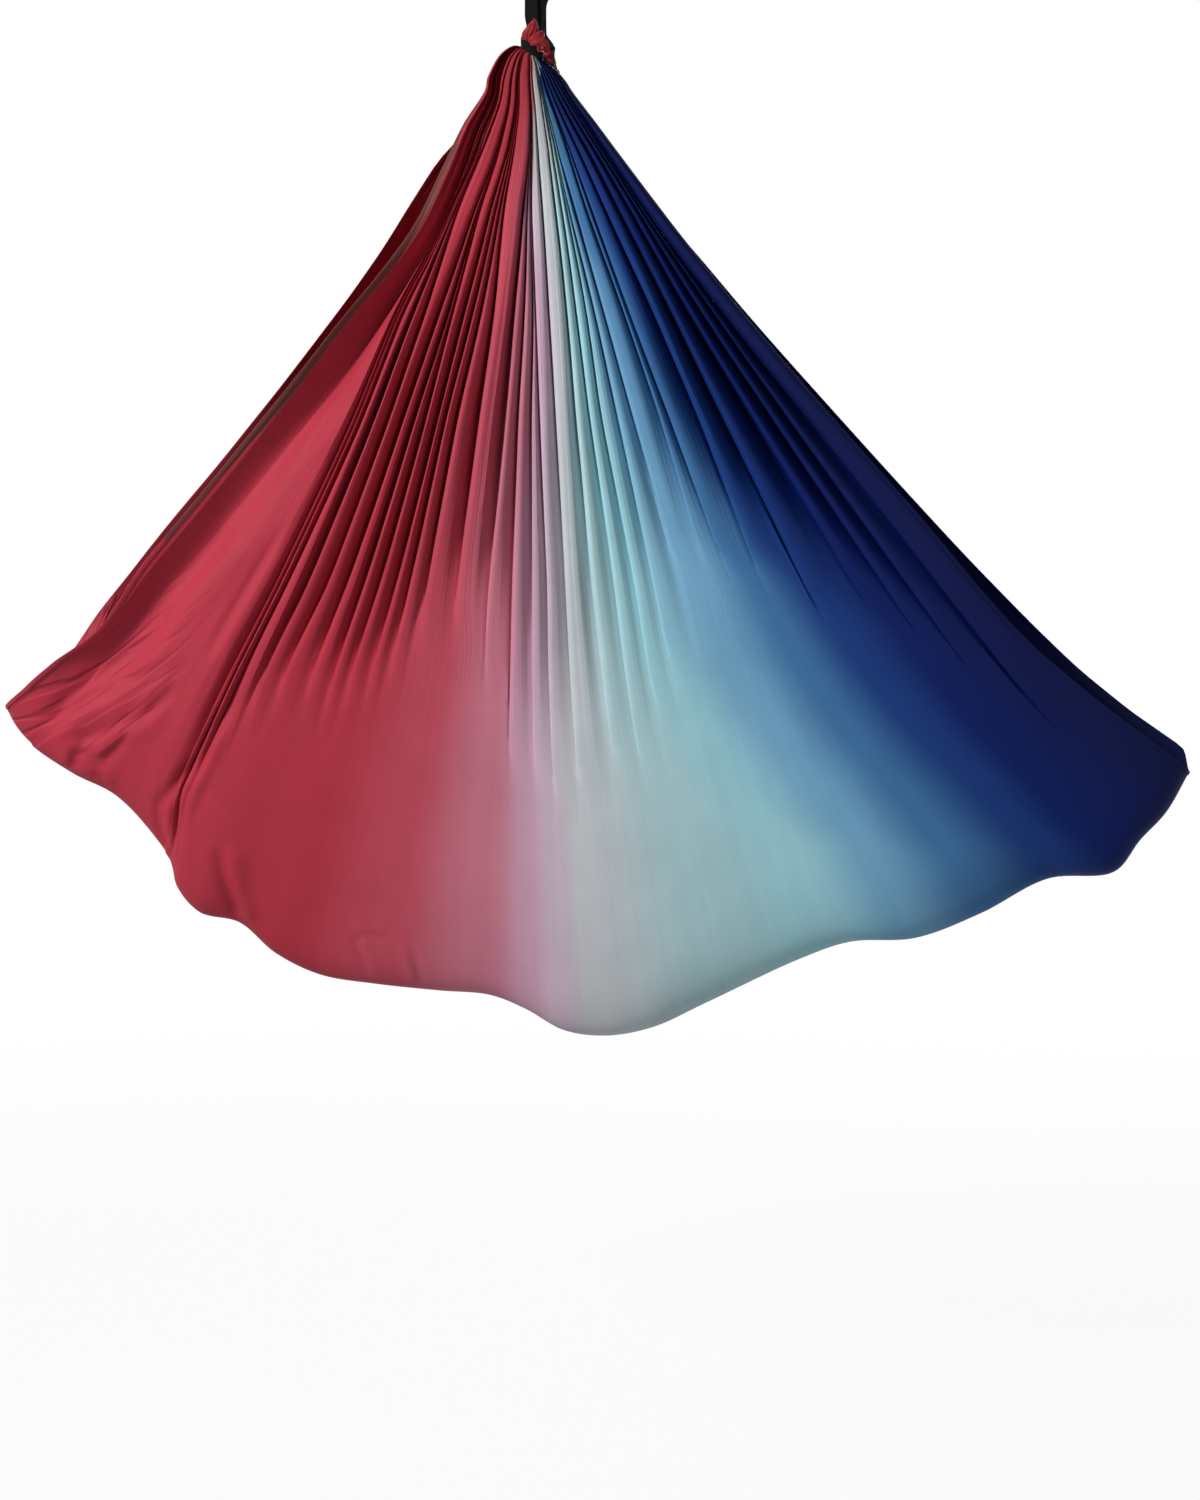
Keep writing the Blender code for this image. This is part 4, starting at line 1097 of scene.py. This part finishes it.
def map_range(tree, value, given, wanted, course="SMOOTHSTEP"):
    """A value taken from one range to another."""
    made = tree.nodes.new("ShaderNodeMapRange")
    made.interpolation_type = course
    ends = {"From Min": given[0], "From Max": given[1], "To Min": wanted[0], "To Max": wanted[1]}
    return fill(tree, made, {"Value": value, **ends}).outputs["Result"]


def uv_place(tree, name):
    made = tree.nodes.new("ShaderNodeUVMap")
    made.uv_map = name
    return made.outputs["UV"]


def split(tree, place):
    return add_node(tree, "SeparateXYZ", {"Vector": place}).outputs


def add_noise(tree, place, scale, detail):
    return add_node(tree, "TexNoise", {"Scale": scale, "Detail": detail, "Vector": place}).outputs["Fac"]


def scaled_noise(tree, place, scale, detail, turn=0.0):
    """Noise with its own scale in each direction, and turned by an angle."""
    turned = add_node(tree, "Mapping", {"Rotation": (0, 0, turn), "Vector": place})
    stretched = add_node(tree, "Mapping", {"Scale": scale, "Vector": turned.outputs["Vector"]})
    return add_noise(tree, stretched.outputs["Vector"], 1.0, detail)


def colour_ramp(tree, value, stops, course="LINEAR"):
    """Colour of a value, from stops given as (value, colour)."""
    made = add_node(tree, "ValToRGB", {"Fac": value})
    made.color_ramp.interpolation = course
    elements = made.color_ramp.elements
    while len(elements) < len(stops):
        elements.new(0.5)
    for element, (place, colour) in zip(elements, stops):
        element.position = place
        element.color = colour
    return made.outputs["Color"]


def mix_colours(tree, share, first, second, blend="MIX"):
    made = tree.nodes.new("ShaderNodeMix")
    made.data_type = "RGBA"
    made.blend_type = blend
    return fill(tree, made, {0: share, 6: first, 7: second}).outputs[2]


def add_bump(tree, height, strength, distance, below=None):
    """Normal of a relief, which may lie over another one."""
    made = add_node(tree, "Bump", {"Height": height, "Strength": strength, "Distance": distance})
    if below is not None:
        tree.links.new(below, made.inputs["Normal"])
    return made.outputs["Normal"]


def cloth_colour(tree, flat, from_fold):
    """The dye across the cloth, its faint streaks and mottling, and painted shade beside the bands."""
    dye = colour_ramp(tree, split(tree, uv_place(tree, "cloth"))["X"], OMBRE, "EASE")
    covered = map_range(tree, split(tree, uv_place(tree, "tuck"))["X"], TUCK_EDGE, (0.0, 1.0))
    colour = mix_colours(tree, covered, dye, CRIMSON)
    for scale, detail, low, high in MOTTLES:
        noise = scaled_noise(tree, flat, (*scale, 1), detail)
        tone = map_range(tree, noise, NOISE_SPREAD, (low, high), "LINEAR")
        colour = vector_node(tree, "SCALE", {0: colour, "Scale": tone}).outputs["Vector"]
    # Painted shade: the cloth turns darker and warmer beside the bands
    band_shade = map_range(tree, from_fold, BAND_SHADE_FROM_FOLD, (0.0, 1.0))
    return mix_colours(tree, band_shade, colour, BAND_SHADE_TONE, "MULTIPLY")


def cloth_relief(tree, flat, across, from_fold):
    """Fine creases along the pleats, pressed lines in the lower left cloth, and the knit."""
    pleated = map_range(tree, from_fold, PLEATED_FROM_FOLD, (0.04, 1.0))
    creases = add_bump(tree, scaled_noise(tree, flat, (*CREASE_NOISE, 1), 2), pleated, CREASE_RELIEF)
    beside_hem = map_range(tree, across, BESIDE_HEM, (1.0, 0.0))
    near_fold = map_range(tree, from_fold, NEAR_FOLD, (1.0, 0.0))
    lines = scaled_noise(tree, flat, (*LINE_NOISE, 1), 2, LINE_TURN)
    from_middle = math_node(tree, "ABSOLUTE", math_node(tree, "SUBTRACT", lines, 0.5))
    pressed = map_range(tree, from_middle, (0.0, LINE_WIDTH), (0.0, 1.0))
    strength = math_node(tree, "MULTIPLY", beside_hem, near_fold)
    folded = add_bump(tree, pressed, strength, LINE_RELIEF, creases)
    return add_bump(tree, scaled_noise(tree, flat, (*KNIT_NOISE, 1), 2), 0.25, KNIT_RELIEF, folded)


def cloth_material():
    """Dyed nylon tricot."""
    made, tree, shader = new_material("ombre_tricot")
    flat = uv_place(tree, "flat")
    place = split(tree, flat)
    from_fold = math_node(tree, "ABSOLUTE", math_node(tree, "SUBTRACT", place["Y"], FLAT_SIZE[1] / 2))
    fill(tree, shader, {
        "Base Color": cloth_colour(tree, flat, from_fold),
        "Normal": cloth_relief(tree, flat, place["X"], from_fold),
        "Roughness": 0.6,
        "Specular IOR Level": 0.12,
    })
    return made


def crimson_material():
    """The same cloth where only its crimson end shows: dyed, darker as painted shade, finely ribbed and
    softly shiny.
    """
    made, tree, shader = new_material("crimson_tricot")
    place = uv_place(tree, "metres")
    # Painted shade: these crimsons are darker than the sheet's CRIMSON
    stops = ((0.3, srgb(112, 24, 29)), (0.7, srgb(146, 40, 46)))
    ribs = add_node(tree, "TexWave", {"Scale": 420, "Distortion": 0.6, "Vector": place})
    fill(tree, shader, {
        "Base Color": colour_ramp(tree, add_noise(tree, place, 90, 3), stops),
        "Normal": add_bump(tree, ribs.outputs["Fac"], 0.25, 0.0002),
        "Roughness": 0.62,
        "Specular IOR Level": 0.12,
    })
    return made


def webbing_material():
    """Black nylon webbing: a slanting weave across its ribs, with a little lint."""
    made, tree, shader = new_material("black_nylon_webbing")
    place = uv_place(tree, "metres")
    weave = add_node(tree, "TexWave", {"Scale": 260, "Vector": place})
    weave.wave_type = "BANDS"
    weave.bands_direction = "DIAGONAL"
    stops = ((0.35, srgb(4, 4, 4)), (0.75, srgb(14, 14, 12)))
    fill(tree, shader, {
        "Base Color": colour_ramp(tree, add_noise(tree, place, 700, 4), stops),
        "Normal": add_bump(tree, weave.outputs["Fac"], 0.6, 0.0003),
        "Roughness": 0.8,
        "Specular IOR Level": 0.1,
    })
    return made


def steel_material(name, colour, roughness, scratch_scale):
    """Plated steel with fine scratches and a slightly uneven polish."""
    made, tree, shader = new_material(name)
    place = tree.nodes.new("ShaderNodeTexCoord").outputs["Object"]
    scale = (scratch_scale, scratch_scale, scratch_scale / SCRATCH_STRETCH)
    stretched = add_node(tree, "Mapping", {"Scale": scale, "Vector": place})
    scratches = add_noise(tree, stretched.outputs["Vector"], 1.0, 6)
    dark = (*(DARK_STEEL * c for c in colour[:3]), 1)
    polish = [roughness + spread for spread in POLISH_SPREAD]
    fill(tree, shader, {
        "Metallic": 1.0,
        "Base Color": colour_ramp(tree, scratches, ((0.0, dark), (1.0, colour))),
        "Roughness": map_range(tree, scratches, (0.0, 1.0), polish, "LINEAR"),
        "Normal": add_bump(tree, scratches, 0.12, 0.0001),
    })
    return made


def finish_node(name, material):
    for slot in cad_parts[name].material_slots:
        slot.material = material


# Stage

FLOOR_HALF, FLOOR_LEVEL = 14.0, -3.15

# To the camera the floor gets whiter further out: distances beyond its depth below the ceiling, and the
# shares of white there
FLOOR_FADE, FLOOR_WHITES = (0.5, 3.0), (0.92, 1.0)

# Lamps: name, place, the point each shines at, size and watts
LAMPS = (
    ("key_light", (-4.0, -4.0, 1.8), (0, 0, -1.3), (1.2, 1.2), 490),
    ("fill_light", (2.6, -5.0, -0.4), (0.2, 0, -1.5), (2.6, 2.6), 35),
    ("back_light", (0.8, 5.6, 0.2), (0, 0, -1.3), (2.4, 2.4), 210),
)


def look_at(made, place, aim):
    made.location = place
    made.rotation_euler = (Vector(aim) - Vector(place)).to_track_quat("-Z", "Y").to_euler()


def add_area(name, place, aim, size, power):
    lamp = bpy.data.lights.new(name, "AREA")
    lamp.shape = "RECTANGLE"
    lamp.size, lamp.size_y = size
    lamp.energy = power
    look_at(link_object(name, lamp), place, aim)


def white_to_camera(tree):
    """1 for what the camera, or a reflection, sees straight, and 0 for other rays."""
    rays = tree.nodes.new("ShaderNodeLightPath").outputs
    seen = math_node(tree, "MAXIMUM", rays["Is Camera Ray"], rays["Is Glossy Ray"])
    return math_node(tree, "MAXIMUM", seen, rays["Is Transmission Ray"])


def mix_to_output(tree, share, first, second, output):
    """Join two shaders' mix to the output: all of the first at 0, all of the second at 1."""
    inputs = {"Fac": share, 1: first.outputs[0], 2: second.outputs[0]}
    mixed = add_node(tree, "MixShader", inputs)
    tree.links.new(mixed.outputs[0], tree.nodes[output].inputs["Surface"])


def make_world():
    world = bpy.data.worlds.new("studio")
    bpy.context.scene.world = world
    world.use_nodes = True
    tree = world.node_tree
    dim = fill(tree, tree.nodes["Background"], {"Color": (0.95, 0.97, 1.0, 1), "Strength": 0.14})
    white = add_node(tree, "Background", {"Color": (1, 1, 1, 1), "Strength": 1.0})
    mix_to_output(tree, white_to_camera(tree), dim, white, "World Output")


def make_floor():
    mesh = bpy.data.meshes.new("studio_floor")
    signs = ((-1, -1), (1, -1), (1, 1), (-1, 1))
    corners = [(x * FLOOR_HALF, y * FLOOR_HALF, FLOOR_LEVEL) for x, y in signs]
    mesh.from_pydata(corners, [], [(0, 1, 2, 3)])
    floor = link_object("studio_floor", mesh)
    made, tree, shader = new_material("studio_floor")
    fill(tree, shader, {"Base Color": (0.5, 0.5, 0.5, 1), "Roughness": 0.9})
    white = add_node(tree, "Emission", {"Strength": 1.0})
    place = tree.nodes.new("ShaderNodeTexCoord").outputs["Object"]
    distance = vector_node(tree, "LENGTH", {0: place}).outputs["Value"]
    share = map_range(tree, distance, [abs(FLOOR_LEVEL) + far for far in FLOOR_FADE], FLOOR_WHITES)
    part = math_node(tree, "MULTIPLY", white_to_camera(tree), share)
    mix_to_output(tree, part, shader, white, "Material Output")
    mesh.materials.append(made)


def make_camera():
    data = bpy.data.cameras.new("camera")
    data.sensor_fit = "VERTICAL"
    data.sensor_height = CAMERA_SENSOR
    data.lens = CAMERA_LENS
    data.clip_end = 100
    camera = link_object("camera", data)
    x = CAMERA_AIM.x + CAMERA_DISTANCE * math.sin(CAMERA_AZIMUTH)
    look_at(camera, (x, -CAMERA_DISTANCE * math.cos(CAMERA_AZIMUTH), CAMERA_LEVEL), CAMERA_AIM)
    bpy.context.scene.camera = camera


make_camera()
make_world()
make_floor()
for lamp in LAMPS:
    add_area(*lamp)
bpy.context.scene.view_settings.view_transform = "Standard"

webbing = webbing_material()
crimson = crimson_material()
steel = steel_material("zinc_plated_steel", (0.40, 0.41, 0.43, 1), 0.34, 900)
spring_steel = steel_material("spring_steel_wire", (0.30, 0.30, 0.32, 1), 0.38, 1500)

cloth = make_cloth()
cloth.data.materials.append(cloth_material())
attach(cloth, "hammock")
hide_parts("hammock_sheet", "front_gather", "rear_gather")

for word, side in (("front", -1), ("rear", 1)):
    sling = make_sling(word, side)
    sling.data.materials.append(webbing)
    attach(sling, f"{word}_sling")
    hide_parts(f"{word}_sling")

    band = make_band(word, side)
    band.data.materials.append(webbing)
    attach(band, "hammock")
    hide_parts(f"{word}_choke_band")

    knot = make_knot(word, side)
    knot.data.materials.append(crimson)
    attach(knot, "hammock")
    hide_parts(f"{word}_knot")

    for piece in ("ceiling_plate", "anchor_hoop", "carabiner_body", "carabiner_gate", "gate_rivet"):
        finish_node(f"{word}_{piece}", steel)
    for piece in ("gate_plunger", "gate_spring"):
        finish_node(f"{word}_{piece}", spring_steel)
